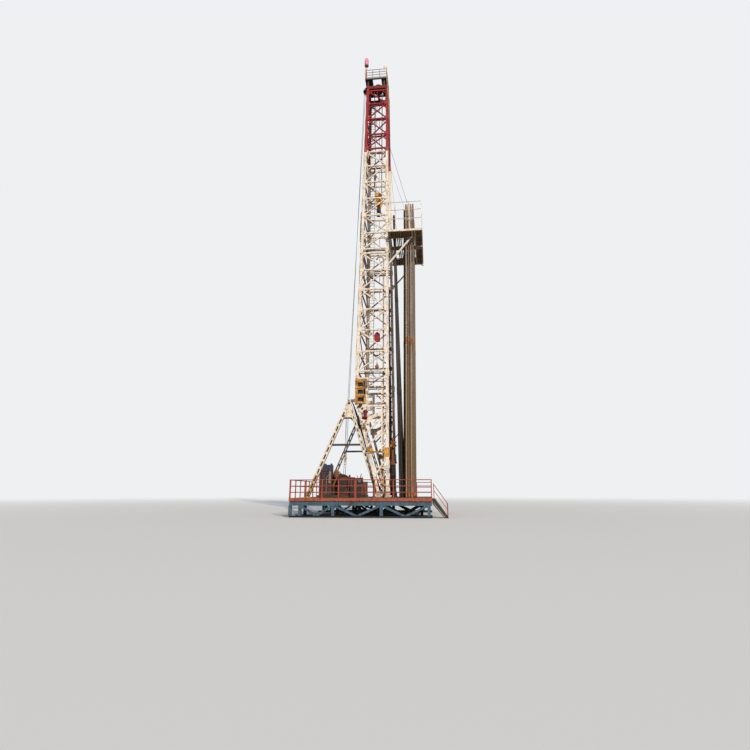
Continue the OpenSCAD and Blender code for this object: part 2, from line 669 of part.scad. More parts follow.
// Travelling block, hook and drilling line
block_axle_z = block_z + block_h - block_r - 40;
block_in = crown_sheaves_n * sheave_pitch / 2 + 6;
module travelling_block() color(yellow) {
    for (s = [-1, 1]) translate([well_x, s > 0 ? block_in + block_t : -block_in, block_z])
        rotate([90, 0, 0]) linear_extrude(block_t)
        polygon([[-90, 0], [90, 0], [block_r, 260], [block_r, block_h - 140], [130, block_h], [-130,
            block_h], [-block_r, block_h - 140], [-block_r, 260]]);
    translate([well_x, 0, block_axle_z]) rotate([90, 0, 0]) cylinder(h = 2 * (block_in + block_t)
        + 36, r = 50, center = true);
    for (z = [0, block_h - 46]) translate([well_x - 70, -block_in - 5, block_z + z + 1])
        cube([140, 2 * block_in + 10, z > 0 ? 40 : 96]);
    for (i = [0 : crown_sheaves_n - 1]) translate([well_x, (i - (crown_sheaves_n - 1) / 2)
        * sheave_pitch, block_axle_z]) sheave(block_r - 20);
}
module hook() color(yellow) {
    translate([well_x, 0, block_z - 140]) cylinder(h = 141 - gap, r = 60);
    translate([well_x, 0, block_z - 300]) cylinder(h = 170, r = 110);
    translate([well_x, 45, block_z - 420]) rotate([90, 0, 0]) linear_extrude(90) difference() {
        circle(r = 150);
        circle(r = 80);
        translate([-200, 20]) square([150, 200]);
    }
}
module drilling_lines() color(steel) for (i = [0 : crown_sheaves_n - 1], s = [-1, 1]) {
    y = (i - (crown_sheaves_n - 1) / 2) * sheave_pitch;
    tube([well_x + s * (sheave_r - rope_in), y, axle_z], [well_x + s * (block_r - 20 - rope_in), y,
        block_axle_z], line_d);
}

// Drawworks
drum_z = floor_z + drum_h;
module drawworks() color(dark) {
    x0 = dw_x - 700;
    translate([x0, -1300, floor_z]) cube([1740, 2600, 90]);
    for (s = [-1, 1]) translate([dw_x - 300, s * (drum_len / 2 + 190) - 60, floor_z + 80])
        cube([600, 120, drum_h + 210]);
    translate([dw_x, 0, drum_z]) rotate([90, 0, 0]) {
        cylinder(h = drum_len + 420, r = 60, center = true);
        cylinder(h = drum_len, r = drum_r, center = true);
        for (s = [-1, 1]) translate([0, 0, s * (drum_len / 2 + 18)])
            cylinder(h = 40, r = drum_r + 140, center = true);
    }
    translate([x0 + 60, -1250, floor_z + 80]) cube([515, 300, housing_h - 80]);
    translate([x0 + 60, 950, floor_z + 80]) cube([515, 300, housing_h - 340]);
    translate([x0 + 835, -1240, floor_z + 78]) cube([640, 290, 692]);
    translate([x0 + 835, 960, floor_z + 82]) cube([880, 280, 560]);
    // driller's console
    translate([-880, -1420, floor_z]) cube([440, 110, 460]);
    translate([-950, -1430, floor_z + 440]) cube([580, 126, 300]);
}
module fast_line() color(steel)
    tube([fast_x - fast_r + rope_in, 0, fast_z], [dw_x + drum_r + line_d / 2 + gap, 0, drum_z], line_d);

// Swivel with the kelly, parked
module swivel() translate([swivel_x, -700, floor_z]) {
    color(black) cylinder(h = swivel_h - 945, r = 62);
    color(brown) translate([0, 0, swivel_h - 960]) cylinder(h = 120, r = 122);
    color(brown) translate([0, 0, swivel_h - 850]) cylinder(h = 620, r = 48);
    color(yellow) translate([0, 0, swivel_h - 260]) cylinder(h = 260, r = 70);
}
standpipe_x = (mast_front + strut_foot) / 2;
standpipe_d = 66;
module standpipe() color(cream) {
    in = standpipe_d / 2 + 70;
    za = floor_z + 400;
    zb = 11000;
    a = [standpipe_x, -(half_y(za) - in), za];
    b = [standpipe_x, -(half_y(zb) - in), zb];
    tube(a, b, standpipe_d, 12);
    translate([standpipe_x, a[1], floor_z]) cylinder(h = 440, d = standpipe_d + 10);
}

floor_frames();
floor_beams();
floor_band();
drill_floor();
rotary_table();
railing_near();
railing_far();
railing_ends();
stair();
stair_handrails();
mast_shoes();
mast_foot_near();
mast_foot_far();
mast_lower_near();
mast_lower_far();
mast_lower_back();
mast_upper_near();
mast_upper_far();
mast_upper_back();
mast_top();
foot_ties();
support_frame_near();
support_frame_far();
frame_ties();
support_column_near();
support_column_far();
crown_frame();
crown_sheaves();
fast_sheave();
crown_platform();
crown_railing();
beacon();
racking_board();
board_walkways();
racking_fingers();
board_fence();
drill_pipe();
drill_collars();
travelling_block();
hook();
drilling_lines();
fast_line();
drawworks();
swivel();
standpipe();
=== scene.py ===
# %% [markdown]
# # A land drilling rig, dressed
# The solids of the rig come in as a fixed frame, in metres, with X to the racked pipe,
# Y to the far side and Z up. Their shapes stay as they are. This file gives each of them
# its paint or its steel, adds the small pieces that the solids leave out, such as plates,
# ropes, rungs, hoses and bolts, and lights the whole.

# %% Load the frame
import math
import bmesh
import bpy
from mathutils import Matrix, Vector


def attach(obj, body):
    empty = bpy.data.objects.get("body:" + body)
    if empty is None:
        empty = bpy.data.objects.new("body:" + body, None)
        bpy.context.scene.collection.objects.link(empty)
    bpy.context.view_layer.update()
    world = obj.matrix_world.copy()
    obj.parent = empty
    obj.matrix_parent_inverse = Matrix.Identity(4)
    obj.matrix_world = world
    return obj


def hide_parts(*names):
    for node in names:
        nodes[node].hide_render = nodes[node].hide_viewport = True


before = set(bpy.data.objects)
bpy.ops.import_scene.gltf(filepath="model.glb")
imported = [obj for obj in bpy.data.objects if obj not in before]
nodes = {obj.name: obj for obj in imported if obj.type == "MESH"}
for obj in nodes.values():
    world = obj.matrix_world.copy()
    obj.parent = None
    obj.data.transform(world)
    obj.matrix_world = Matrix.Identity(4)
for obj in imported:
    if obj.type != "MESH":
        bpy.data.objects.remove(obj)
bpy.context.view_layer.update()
scene = bpy.context.scene

# %% [markdown]
# The photograph was taken from the ground at eye height, looking up, a few degrees in front
# of the line square to the rig. A camera can be placed by eye, but a tall mast shows every
# degree of error, so these angles were worked out from edges whose real sizes are known. A
# small shift keeps the whole rig in the square frame, as a cropped picture would.

# %% Camera
picture_pixels, lens_pixels, shift_pixels = 750, 490, 41
yaw_degrees, pitch_degrees = 6.2, 17.77
aim_x, eye_height, reach = -0.044, 0.91, 21.5

cam_data = bpy.data.cameras.new("camera")
cam_data.sensor_width = 36
cam_data.lens = lens_pixels / picture_pixels * 36
cam_data.shift_y = -shift_pixels / picture_pixels
camera = bpy.data.objects.new("camera", cam_data)
scene.collection.objects.link(camera)
yaw = math.radians(yaw_degrees)
camera.location = (aim_x + reach * math.sin(yaw), -reach * math.cos(yaw), eye_height)
camera.rotation_euler = (math.radians(90 + pitch_degrees), 0, yaw)
scene.camera = camera
print("camera at", [round(c, 3) for c in camera.location])

# %% [markdown]
# Every finish is a small tree of shader nodes. Such a tree can be clicked together by hand,
# but written down it can be read, changed and used again. So one function adds a node with
# its settings, its values and its links. Colours are read from the photograph as sRGB, and
# one function turns them into the linear values that light needs.

# %% Colour and node helpers
# a Mix node's colour sockets share their names with others, so they go by their numbers
FACTOR, FIRST, SECOND, MIXED = 0, 6, 7, 2


def hex_colour(code):
    parts = [int(code[i:i + 2], 16) / 255 for i in (1, 3, 5)]
    linear = [p / 12.92 if p <= 0.04045 else ((p + 0.055) / 1.055) ** 2.4 for p in parts]
    return (*linear, 1.0)


def add(tree, kind, values=None, links=None, **settings):
    node = tree.nodes.new(kind)
    for key, value in settings.items():
        setattr(node, key, value)
    for key, value in (values or {}).items():
        node.inputs[key].default_value = value
    for key, socket in (links or {}).items():
        tree.links.new(socket, node.inputs[key])
    return node


def span(low, high, first, last):
    return {"From Min": low, "From Max": high, "To Min": first, "To Max": last}


def new_tree(name):
    material = bpy.data.materials.new(name)
    material.use_nodes = True
    material.node_tree.nodes.clear()
    return material, material.node_tree


print("white is", hex_colour("#ffffff")[:3])

# %% [markdown]
# Rig paint is a brushed alkyd enamel over steel, half glossy when new. Years of mud, sun and
# oil leave three marks: broad fading, streaks that rain draws down, and rust that starts as
# small spots. One picture of dirt would repeat on so many bars, so each mark is its own noise.
# Its scale is 1 divided by the real size of the mark in metres.

# %% Weathered enamel
def enamel(name, fresh, faded, grime, rust, rough=0.5, streak=0.45, spots=0.62, stains=0.55):
    material, tree = new_tree(name)
    place = add(tree, "ShaderNodeTexCoord").outputs["Object"]
    # fading in patches of about 0.6 m
    fade = add(tree, "ShaderNodeTexNoise", {"Scale": 1 / 0.6, "Detail": 3.0}, {"Vector": place})
    # streaks about 60 mm wide that run down ten times as far
    tall = add(tree, "ShaderNodeMapping", {"Scale": (1.0, 1.0, 0.1)}, {"Vector": place})
    run = add(tree, "ShaderNodeTexNoise", {"Scale": 1 / 0.06, "Detail": 4.0},
              {"Vector": tall.outputs[0]})
    # rust spots of about 25 mm, gathered where a slower noise allows them
    spot = add(tree, "ShaderNodeTexNoise", {"Scale": 1 / 0.025, "Detail": 5.0}, {"Vector": place})
    gather = add(tree, "ShaderNodeTexNoise", {"Scale": 1 / 0.35, "Detail": 2.0}, {"Vector": place})
    both = add(tree, "ShaderNodeMath", links={0: spot.outputs["Fac"], 1: gather.outputs["Fac"]},
               operation="ADD")
    # hand-sized stains, laid by a noise
    stain = add(tree, "ShaderNodeTexNoise", {"Scale": 1 / 0.11, "Detail": 2.0}, {"Vector": place})
    stained = add(tree, "ShaderNodeMapRange", span(0.53, 0.66, 0.0, stains),
                  {"Value": stain.outputs["Fac"]})
    paint = add(tree, "ShaderNodeMix", {FIRST: hex_colour(fresh), SECOND: hex_colour(faded)},
                {FACTOR: fade.outputs["Fac"]}, data_type="RGBA")
    dirty = add(tree, "ShaderNodeMapRange", span(streak + 0.04, streak + 0.24, 0.0, 0.7),
                {"Value": run.outputs["Fac"]})
    marks = add(tree, "ShaderNodeMath", links={0: dirty.outputs[0], 1: stained.outputs[0]},
                operation="MAXIMUM")
    streaked = add(tree, "ShaderNodeMix", {SECOND: hex_colour(grime)},
                   {FACTOR: marks.outputs[0], FIRST: paint.outputs[MIXED]}, data_type="RGBA")
    # faces that point down are darkened towards the grime colour: painted shade, and grime that rain never
    # washes off
    normal = add(tree, "ShaderNodeNewGeometry").outputs["Normal"]
    facing = add(tree, "ShaderNodeSeparateXYZ", links={0: normal})
    under = add(tree, "ShaderNodeMapRange", span(-0.2, -0.9, 0.0, 0.4), {"Value": facing.outputs["Z"]})
    below = add(tree, "ShaderNodeMix", {SECOND: hex_colour(grime)},
                {FACTOR: under.outputs[0], FIRST: streaked.outputs[MIXED]}, data_type="RGBA")
    rusty = add(tree, "ShaderNodeMapRange", span(2 * spots - 0.05, 2 * spots + 0.08, 0.0, 0.9),
                {"Value": both.outputs[0]})
    final = add(tree, "ShaderNodeMix", {SECOND: hex_colour(rust)},
                {FACTOR: rusty.outputs[0], FIRST: below.outputs[MIXED]}, data_type="RGBA")
    gloss = add(tree, "ShaderNodeMapRange", span(0.0, 1.0, rough, 0.9), {"Value": rusty.outputs[0]})
    # brush marks and spots stand about 1 mm proud
    bump = add(tree, "ShaderNodeBump", {"Strength": 0.35, "Distance": 0.001},
               {"Height": spot.outputs["Fac"]})
    shader = add(tree, "ShaderNodeBsdfPrincipled", {"IOR": 1.5},
                 {"Base Color": final.outputs[MIXED], "Roughness": gloss.outputs[0],
                  "Normal": bump.outputs[0]})
    add(tree, "ShaderNodeOutputMaterial", links={0: shader.outputs[0]})
    print("enamel", name)
    return material


# %% [markdown]
# The mast was painted in one cream, but it doesn't look like one colour: the far side lies in
# shade, and the legs' feet are stained by mud and hydraulic oil. Lights alone don't show that
# at this distance, so each place has its own batch. The four colours of a batch are fresh
# paint, faded paint, grime and rust.

# %% Paints of the mast
# in full sun: a warm, half glossy white with brown streaks
cream = enamel("warm white enamel", "#fff6ea", "#f3e6d6", "#8f7558", "#7a4526", 0.48)
# on the far side: the same paint, greyer and duller, as painted shade
shaded_cream = enamel("shaded cream enamel", "#d6cabb", "#b3a08a", "#665140", "#5e3820", 0.6, 0.4, 0.58)
# near the floor: yellow-brown stains over most of it
cream_stained = enamel("stained cream enamel", "#e6c893", "#c79a5c", "#7a5226", "#7c4218", 0.55, 0.38, 0.56)
# the top section: deep red and chalky; the darker copy is painted shade for its far and rear sides
red = enamel("mast red enamel", "#b3141f", "#981c26", "#4c0e13", "#3a130e", 0.6, 0.46)
shaded_red = enamel("shaded red enamel", "#97141e", "#701823", "#330c10", "#2c110c", 0.7, 0.42)
# the crown's railing: a pink grey, with orange at the corners
crown_pale = enamel("faded crown enamel", "#b9a3a2", "#a08f98", "#6b5050", "#7d4428", 0.5)
crown_orange = enamel("faded orange enamel", "#e2a27c", "#d8b48e", "#8a5f45", "#7d4428", 0.5)
# the far A-frame: a grey brown; the level bars: old paint under a film of oil
grey_brown = enamel("grey brown enamel", "#8b8078", "#736860", "#3c3533", "#4c3327", 0.6)
dark_tie = enamel("dark grey enamel", "#4a4a4d", "#3c3835", "#1d1b1b", "#3a2a20", 0.6)
print("finishes:", len(bpy.data.materials))

# %% [markdown]
# Under the floor the paint is a blue grey, its edge band and rails are a red that the sun has
# turned towards orange, and machines are dark, because oil holds dust. The yellow of lifting
# gear is the brightest paint on the rig, so that it is seen when it moves.

# %% Paints of the floor and the machines
# edge band and rails: a dull orange red
band_red = enamel("floor edge enamel", "#c3502b", "#a95d3a", "#5e271a", "#4a2415", 0.6)
rail_red = enamel("rail red enamel", "#c04330", "#a85644", "#54251a", "#45200f", 0.55)
# frames under the floor: muted blue outside; almost black inside, which is painted shade
blue = enamel("blue grey enamel", "#426a84", "#4a6474", "#1e2d37", "#4a3226", 0.55, 0.42)
shaded_blue = enamel("dark blue enamel", "#1d3038", "#27393f", "#0e1416", "#2c211b", 0.65)
# block and brackets: a warm yellow; the columns are dirtier
yellow = enamel("machine yellow enamel", "#eba52c", "#d8a458", "#7a4f22", "#5d3519", 0.5)
column_yellow = enamel("stained yellow enamel", "#dfae5e", "#cf9349", "#6b4420", "#4c260f",
                       0.55, 0.4, 0.55, 0.75)
# machines: brown blacks, a navy housing and an oxide brown cabinet
machine = enamel("machinery enamel", "#3a332f", "#4a3a30", "#171413", "#6a3c24", 0.55, 0.4, 0.54)
navy = enamel("navy machine enamel", "#34436e", "#3b4058", "#171720", "#4d3228", 0.5, 0.4)
brown_paint = enamel("oxide brown enamel", "#8d4a34", "#6e4031", "#2c1a14", "#3f2214", 0.55, 0.4)
black_paint = enamel("black enamel", "#1f1c1c", "#2a2624", "#0f0d0d", "#33211a", 0.5)
# plates that are walked on: no gloss left, only dust in the colour of the ground
dark_plate = enamel("worn floor enamel", "#453b36", "#524640", "#211b18", "#4e3222", 0.65)
board_under = enamel("dusty plate enamel", "#b0a297", "#b6a698", "#655749", "#6b4a33", 0.7, 0.44)
stair_brown = enamel("dusty stair enamel", "#262a26", "#3a3f39", "#151512", "#3e281b", 0.75)
print("finishes:", len(bpy.data.materials))

# %% [markdown]
# Drill pipe is bare steel that has been outside for months: a thin even rust, darker where
# tongs gripped it. Drill collars are turned alloy bars under a coat of black grease. Wire rope
# is bright wire under graphite grease. All are metal, but rust and grease lie over most of it,
# so only the rope still shines, and the others mix a low metallic value with a high roughness.

# %% Bare steels
def steel(name, base, patch, mark, rough, metallic, grain_mm, muddy=None):
    material, tree = new_tree(name)
    place = add(tree, "ShaderNodeTexCoord").outputs["Object"]
    # clouds of 0.12 m, drawn out along the pipe
    long_way = add(tree, "ShaderNodeMapping", {"Scale": (1.0, 1.0, 0.08)}, {"Vector": place})
    cloud = add(tree, "ShaderNodeTexNoise", {"Scale": 1 / 0.12, "Detail": 4.0},
                {"Vector": long_way.outputs[0]})
    # real grain is too fine to show from here, so it is drawn as coarse as it needs to show
    grain = add(tree, "ShaderNodeTexNoise", {"Scale": 1000 / grain_mm, "Detail": 3.0},
                {"Vector": place})
    tint = add(tree, "ShaderNodeMix", {FIRST: hex_colour(base), SECOND: hex_colour(patch)},
               {FACTOR: cloud.outputs["Fac"]}, data_type="RGBA")
    # the lower 6 m stay muddy, because that is where wet tongs and hoses work
    high = add(tree, "ShaderNodeSeparateXYZ", links={0: place})
    low = add(tree, "ShaderNodeMapRange", span(3.0, 9.0, 0.8, 0.0), {"Value": high.outputs["Z"]})
    mud = add(tree, "ShaderNodeMix", {SECOND: hex_colour(muddy or base)},
              {FACTOR: low.outputs[0], FIRST: tint.outputs[MIXED]}, data_type="RGBA")
    spread = add(tree, "ShaderNodeMapRange", span(0.52, 0.72, 0.0, 0.75),
                 {"Value": grain.outputs["Fac"]})
    final = add(tree, "ShaderNodeMix", {SECOND: hex_colour(mark)},
                {FACTOR: spread.outputs[0], FIRST: mud.outputs[MIXED]}, data_type="RGBA")
    gloss = add(tree, "ShaderNodeMapRange", span(0.3, 0.7, rough, min(rough + 0.25, 1.0)),
                {"Value": cloud.outputs["Fac"]})
    bump = add(tree, "ShaderNodeBump", {"Strength": 0.4, "Distance": 0.0008},
               {"Height": grain.outputs["Fac"]})
    shader = add(tree, "ShaderNodeBsdfPrincipled", {"Metallic": metallic},
                 {"Base Color": final.outputs[MIXED], "Roughness": gloss.outputs[0],
                  "Normal": bump.outputs[0]})
    add(tree, "ShaderNodeOutputMaterial", links={0: shader.outputs[0]})
    print("steel", name)
    return material


# rusted, so brown and dull; every other row is paler, a painted highlight for the sunlit pipes
rusted_pipe = steel("rusted pipe steel", "#84786d", "#675c54", "#43362c", 0.6, 0.2, 30, "#76604a")
highlight_pipe = steel("pipe steel with painted highlight", "#b3a697", "#92867a", "#67564a", 0.55, 0.2, 30, "#a58a66")
joint_rust = steel("rusted tool joint", "#a6764a", "#8b6748", "#5e412b", 0.65, 0.15, 25)
# grease and oil give black with a faint sheen
greased_collar = steel("greased collar steel", "#231e1b", "#322e2b", "#12100e", 0.45, 0.3, 25)
rope_steel = steel("greased rope steel", "#5b5854", "#77736c", "#2c2a28", 0.45, 0.6, 9)
sheave_iron = steel("cast sheave iron", "#3a3634", "#4a4643", "#1c1a19", 0.5, 0.5, 12)
# walked on or turned against other steel, so it stays bright
bare_edge = steel("galvanised steel", "#9a9a96", "#84837e", "#5d564c", 0.5, 0.55, 40)
table_steel = steel("worn table steel", "#7e7a76", "#6b645d", "#3c2e24", 0.45, 0.6, 18)
# a casting that was never painted: brown, with the coarse skin of its sand mould
worn_brown = steel("rusted casting", "#8a6240", "#6b4b34", "#3a2619", 0.7, 0.2, 20)

# %% [markdown]
# A few small pieces are moulded or freshly painted, so they have neither streaks nor rust:
# hose rubber, which is dull, the plastic lens of the warning lamp, a pink red that lets some
# light through, and clean white or aged grey faces. One simple tree is enough for them.

# %% Rubber, lens and clean faces
def moulded(name, colour, patch, rough, grain_mm, coat=0.0, glow=0.0):
    material, tree = new_tree(name)
    place = add(tree, "ShaderNodeTexCoord").outputs["Object"]
    grain = add(tree, "ShaderNodeTexNoise", {"Scale": 1000 / grain_mm, "Detail": 3.0},
                {"Vector": place})
    tint = add(tree, "ShaderNodeMix", {FIRST: hex_colour(colour), SECOND: hex_colour(patch)},
               {FACTOR: grain.outputs["Fac"]}, data_type="RGBA")
    bump = add(tree, "ShaderNodeBump", {"Strength": 0.2, "Distance": 0.0005},
               {"Height": grain.outputs["Fac"]})
    shader = add(tree, "ShaderNodeBsdfPrincipled",
                 {"Roughness": rough, "IOR": 1.5, "Coat Weight": coat,
                  "Emission Color": hex_colour(colour), "Emission Strength": glow},
                 {"Base Color": tint.outputs[MIXED], "Normal": bump.outputs[0]})
    add(tree, "ShaderNodeOutputMaterial", links={0: shader.outputs[0]})
    return material


rubber_hose = moulded("hose rubber", "#1b1a1a", "#2c2a28", 0.75, 15)
lens_pink = moulded("lamp lens", "#f0769a", "#f79ab6", 0.3, 40, 0.4, 0.3)
dial_white = moulded("clean white enamel", "#f2efe8", "#dcd6ca", 0.35, 30, 0.3)
gauge_face = moulded("aged gauge face", "#7d736b", "#675c54", 0.4, 20, 0.2)
print("finishes:", len(bpy.data.materials))

# %% [markdown]
# The solids keep their shapes, because they already are the rig's main forms. Each only gets
# the finish of the real piece, by a list that can be read beside the photograph.

# %% Finishes for the solids
# the shaded copies of cream, red and blue are painted shade for the parts that lie in shade
finish_of = {
    "floor_frames": blue, "floor_beams": shaded_blue, "floor_band": band_red,
    "drill_floor": dark_plate, "rotary_table": table_steel, "railing_near": rail_red,
    "railing_far": rail_red, "railing_ends": rail_red, "stair": stair_brown,
    "stair_handrails": rail_red, "mast_shoes": shaded_cream, "mast_foot_near": cream,
    "mast_foot_far": shaded_cream, "mast_lower_near": cream, "mast_lower_far": shaded_cream,
    "mast_lower_back": shaded_cream, "mast_upper_near": cream, "mast_upper_far": cream,
    "mast_upper_back": shaded_cream, "mast_top": red, "foot_ties": yellow,
    "support_frame_near": cream, "support_frame_far": grey_brown, "frame_ties": grey_brown,
    "support_column_near": column_yellow, "support_column_far": cream, "crown_frame": shaded_red,
    "crown_sheaves": sheave_iron, "fast_sheave": sheave_iron, "crown_platform": dark_plate,
    "crown_railing": crown_pale, "beacon": red, "racking_board": cream,
    "board_walkways": board_under, "racking_fingers": board_under, "board_fence": cream,
    "drill_pipe": rusted_pipe, "drill_collars": greased_collar, "travelling_block": yellow,
    "hook": yellow, "drilling_lines": rope_steel, "fast_line": rope_steel, "drawworks": machine,
    "swivel": worn_brown, "standpipe": shaded_cream,
}
for name, finish in finish_of.items():
    mesh = nodes[name].data
    mesh.materials.clear()
    mesh.materials.append(finish)
missing = [name for name in nodes if name not in finish_of]
print("solids with a finish:", len(finish_of), "without:", missing)

# %% [markdown]
# On the real rig one welded piece often carries two paints. It could be cut in two, but then
# the joint would have to be hidden, so some of its faces take a second finish instead. A
# small test on the middle of each face picks them.

# %% A second finish on some faces
def second_finish(piece, finish, test):
    mesh = piece.data
    mesh.materials.append(finish)
    chosen = [face for face in mesh.polygons if test(face.center)]
    for face in chosen:
        face.material_index = len(mesh.materials) - 1
    print(piece.name, "has", len(chosen), "faces in", finish.name)


pipe_x0, pipe_pitch, pipe_lean, stand_len = 1.205, 0.105, 0.24, 13.22


def pipe_row(c):
    foot_x = c.x - pipe_lean * (c.z - 0.7) / stand_len
    return int((foot_x - pipe_x0 + 0.065) / pipe_pitch)


# the floor frames get painted shade inside, and are darker at their feet
second_finish(nodes["floor_frames"], shaded_blue, lambda c: abs(c.y) < 2.6)
second_finish(nodes["floor_frames"], shaded_blue, lambda c: abs(c.y) > 2.6 and c.z < 0.14)
second_finish(nodes["mast_foot_near"], cream_stained, lambda c: c.z < 1.3)
second_finish(nodes["mast_lower_far"], cream, lambda c: c.x > 0.55)
second_finish(nodes["foot_ties"], column_yellow, lambda c: c.x >= 0.14)
second_finish(nodes["foot_ties"], cream_stained, lambda c: c.x < 0.14)
# the red section has painted shade on its far and rear sides, and the crown's corners are orange
second_finish(nodes["mast_top"], shaded_red, lambda c: c.y > 0.3 or (abs(c.y) < 0.45 and c.x < -0.3))
second_finish(nodes["crown_railing"], crown_orange, lambda c: c.y < -0.6 and (c.x < -0.45 or c.x > 0.62))
second_finish(nodes["beacon"], lens_pink, lambda c: c.z > 22.98)
# every other row of pipe is paler, as a painted highlight, and the hook's own steel shows under its yellow
second_finish(nodes["drill_pipe"], highlight_pipe, lambda c: pipe_row(c) % 2 == 1)
second_finish(nodes["hook"], grey_brown, lambda c: c.z < 14.5)
# greased kelly below, yellow bail above
second_finish(nodes["swivel"], rubber_hose, lambda c: c.z < 1.9)
second_finish(nodes["swivel"], yellow, lambda c: c.z > 2.6)
# console, gauge box and far guard beside the drawworks
second_finish(nodes["drawworks"], brown_paint, lambda c: -1.4 < c.x < -0.7 and c.y < -0.9 and c.z > 0.76)
second_finish(nodes["drawworks"], black_paint, lambda c: c.y < -1.3 and c.x > -1.0)
second_finish(nodes["drawworks"], brown_paint, lambda c: c.y > 0.9 and c.x > -1.4)

# %% [markdown]
# A rig repeats a few plain forms hundreds of times. They could be copied by hand or by array
# modifiers, but code that lays them down is exact and can be read. The first form is a bar
# or plate between two points, with four corners at each end.

# %% A bar between two points
def bar(mesh, a, b, wide, deep, side=(0, 1, 0)):
    a, b = Vector(a), Vector(b)
    along = b - a
    across = Vector(side).cross(along).normalized() * (wide / 2)
    thick = along.cross(across).normalized() * (deep / 2)
    corners = [p + i * across + j * thick
               for p in (a, b) for i, j in ((-1, -1), (1, -1), (1, 1), (-1, 1))]
    v = [mesh.verts.new(c) for c in corners]
    for quad in ((3, 2, 1, 0), (4, 5, 6, 7), (0, 1, 5, 4), (1, 2, 6, 5), (2, 3, 7, 6), (3, 0, 4, 7)):
        mesh.faces.new([v[i] for i in quad])


trial = bmesh.new()
bar(trial, (0, 0, 0), (0, 0, 1), 0.1, 0.1)
print("a bar has", len(trial.faces), "faces")
trial.free()

# %% [markdown]
# Ropes, hoses and pipes are round. A curve with a bevel would do, but a mesh of rings can be
# joined with other forms in one piece. Each ring keeps the turn of the one before it, so that
# the tube doesn't twist, and arcs of any size give it its bends.

# %% A tube along a path
def arc(centre, across, up, start, end, steps):
    angles = [start + (end - start) * k / steps for k in range(steps + 1)]
    return [tuple(c + u * math.cos(t) + v * math.sin(t) for c, u, v in zip(centre, across, up))
            for t in angles]


def tube(mesh, path, radius, sides=8, closed=False):
    path = [Vector(p) for p in path]
    rings = []
    last = None
    count = len(path)
    for i, p in enumerate(path):
        ahead = path[(i + 1) % count] if (closed or i < count - 1) else p
        behind = path[i - 1] if (closed or i > 0) else p
        along = (ahead - behind).normalized()
        if last is None:
            last = along.orthogonal().normalized()
        last = (last - along * last.dot(along)).normalized()
        other = along.cross(last)
        rings.append([mesh.verts.new(p + radius * (math.cos(t) * last + math.sin(t) * other))
                      for t in [2 * math.pi * k / sides for k in range(sides)]])
    for i in range(count if closed else count - 1):
        one, two = rings[i], rings[(i + 1) % count]
        for k in range(sides):
            mesh.faces.new((one[k], one[(k + 1) % sides], two[(k + 1) % sides], two[k]))
    if not closed:
        mesh.faces.new(rings[0][::-1])
        mesh.faces.new(rings[-1])


half_turn = arc((0, 0, 0), (1, 0, 0), (0, 0, 1), 0, math.pi, 16)
print("a half turn of", len(half_turn), "points ends at x", round(half_turn[-1][0], 3))

# %% [markdown]
# Collars, pins, bosses and dials come off a lathe, so they are made the same way: a profile of
# radius and height, turned round an axis. Two short cuts follow from it, a plain rod, which
# with six sides is a bolt's head, and the profile of a ring with chamfered edges.

# %% A turned piece
def turned(mesh, base, axis, profile, sides=16):
    turn = Vector(axis).to_track_quat("Z", "Y").to_matrix()
    base = Vector(base)
    rings = [[mesh.verts.new(base + turn @ Vector((r * math.cos(t), r * math.sin(t), h)))
              for t in [2 * math.pi * k / sides for k in range(sides)]] for r, h in profile]
    for one, two in zip(rings, rings[1:]):
        for k in range(sides):
            mesh.faces.new((one[k], one[(k + 1) % sides], two[(k + 1) % sides], two[k]))
    mesh.faces.new(rings[0][::-1])
    mesh.faces.new(rings[-1])


def rod(mesh, base, axis, radius, tall, sides=6):
    turned(mesh, base, axis, [(radius, 0.0), (radius, tall)], sides)


def chamfered(radius, tall, rim, edge=0.01):
    return [(rim, 0.0), (radius, edge), (radius, tall - edge), (rim, tall)]


print("a ring's profile:", chamfered(0.05, 0.06, 0.04))

# %% [markdown]
# All pieces of a kind go into one mesh, so that hundreds of plates stay one object. The last
# helper makes that object. It turns its faces outwards, adds a thin bevel where edges catch
# the light, and says which body the object rides on. The frame's three directions get one
# letter each, because turned pieces need them all the time.

# %% From a mesh to a piece
def make(name, mesh, finish, body="rig", bevel=0.0, smooth=False):
    bmesh.ops.recalc_face_normals(mesh, faces=mesh.faces)
    data = bpy.data.meshes.new(name)
    if smooth:
        for face in mesh.faces:
            face.smooth = len(face.verts) == 4
    mesh.to_mesh(data)
    mesh.free()
    data.materials.append(finish)
    piece = bpy.data.objects.new(name, data)
    scene.collection.objects.link(piece)
    if bevel:
        edge = piece.modifiers.new("edge", "BEVEL")
        edge.width = bevel
        edge.segments = 1
    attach(piece, body)
    print(name, len(data.polygons), "faces")
    return piece


X, Y, Z = (1, 0, 0), (0, 1, 0), (0, 0, 1)

# %% [markdown]
# The mast tapers, so every piece on it needs to know where the chords stand at a height. The
# places could be read off the solids one by one, but two short functions with the sizes that
# the solids were made from give them all.

# %% The mast's lines
foot_z, joint_z, top_z = 0.815, 5.56, 21.38
foot_half, top_half = 2.0, 0.52
front_x, rear_low, rear_top = 0.65, 0.608, 0.36
bay, top_bay, chord = 0.975, 1.03, 0.12
slope = (foot_half - top_half) / (top_z - foot_z)


def half_y(z):
    return foot_half - slope * (z - foot_z)


def rear_x(z):
    return -(rear_low + (rear_top - rear_low) * (z - joint_z) / (top_z - joint_z))


levels = [joint_z + bay * i for i in range(13)]
top_levels = [levels[-1] + top_bay * i for i in range(5)]
lower_joint, middle_joint, upper_joint = levels[0], levels[6], levels[12]
print("mast joints at", lower_joint, middle_joint, upper_joint, top_z)

# %% [markdown]
# Where bars meet a chord, a real mast has a thin gusset plate welded on. It is only a few
# pixels high here, but it breaks up the clean line of the chord, so it is worth a plate.
# Each leans with its chord.

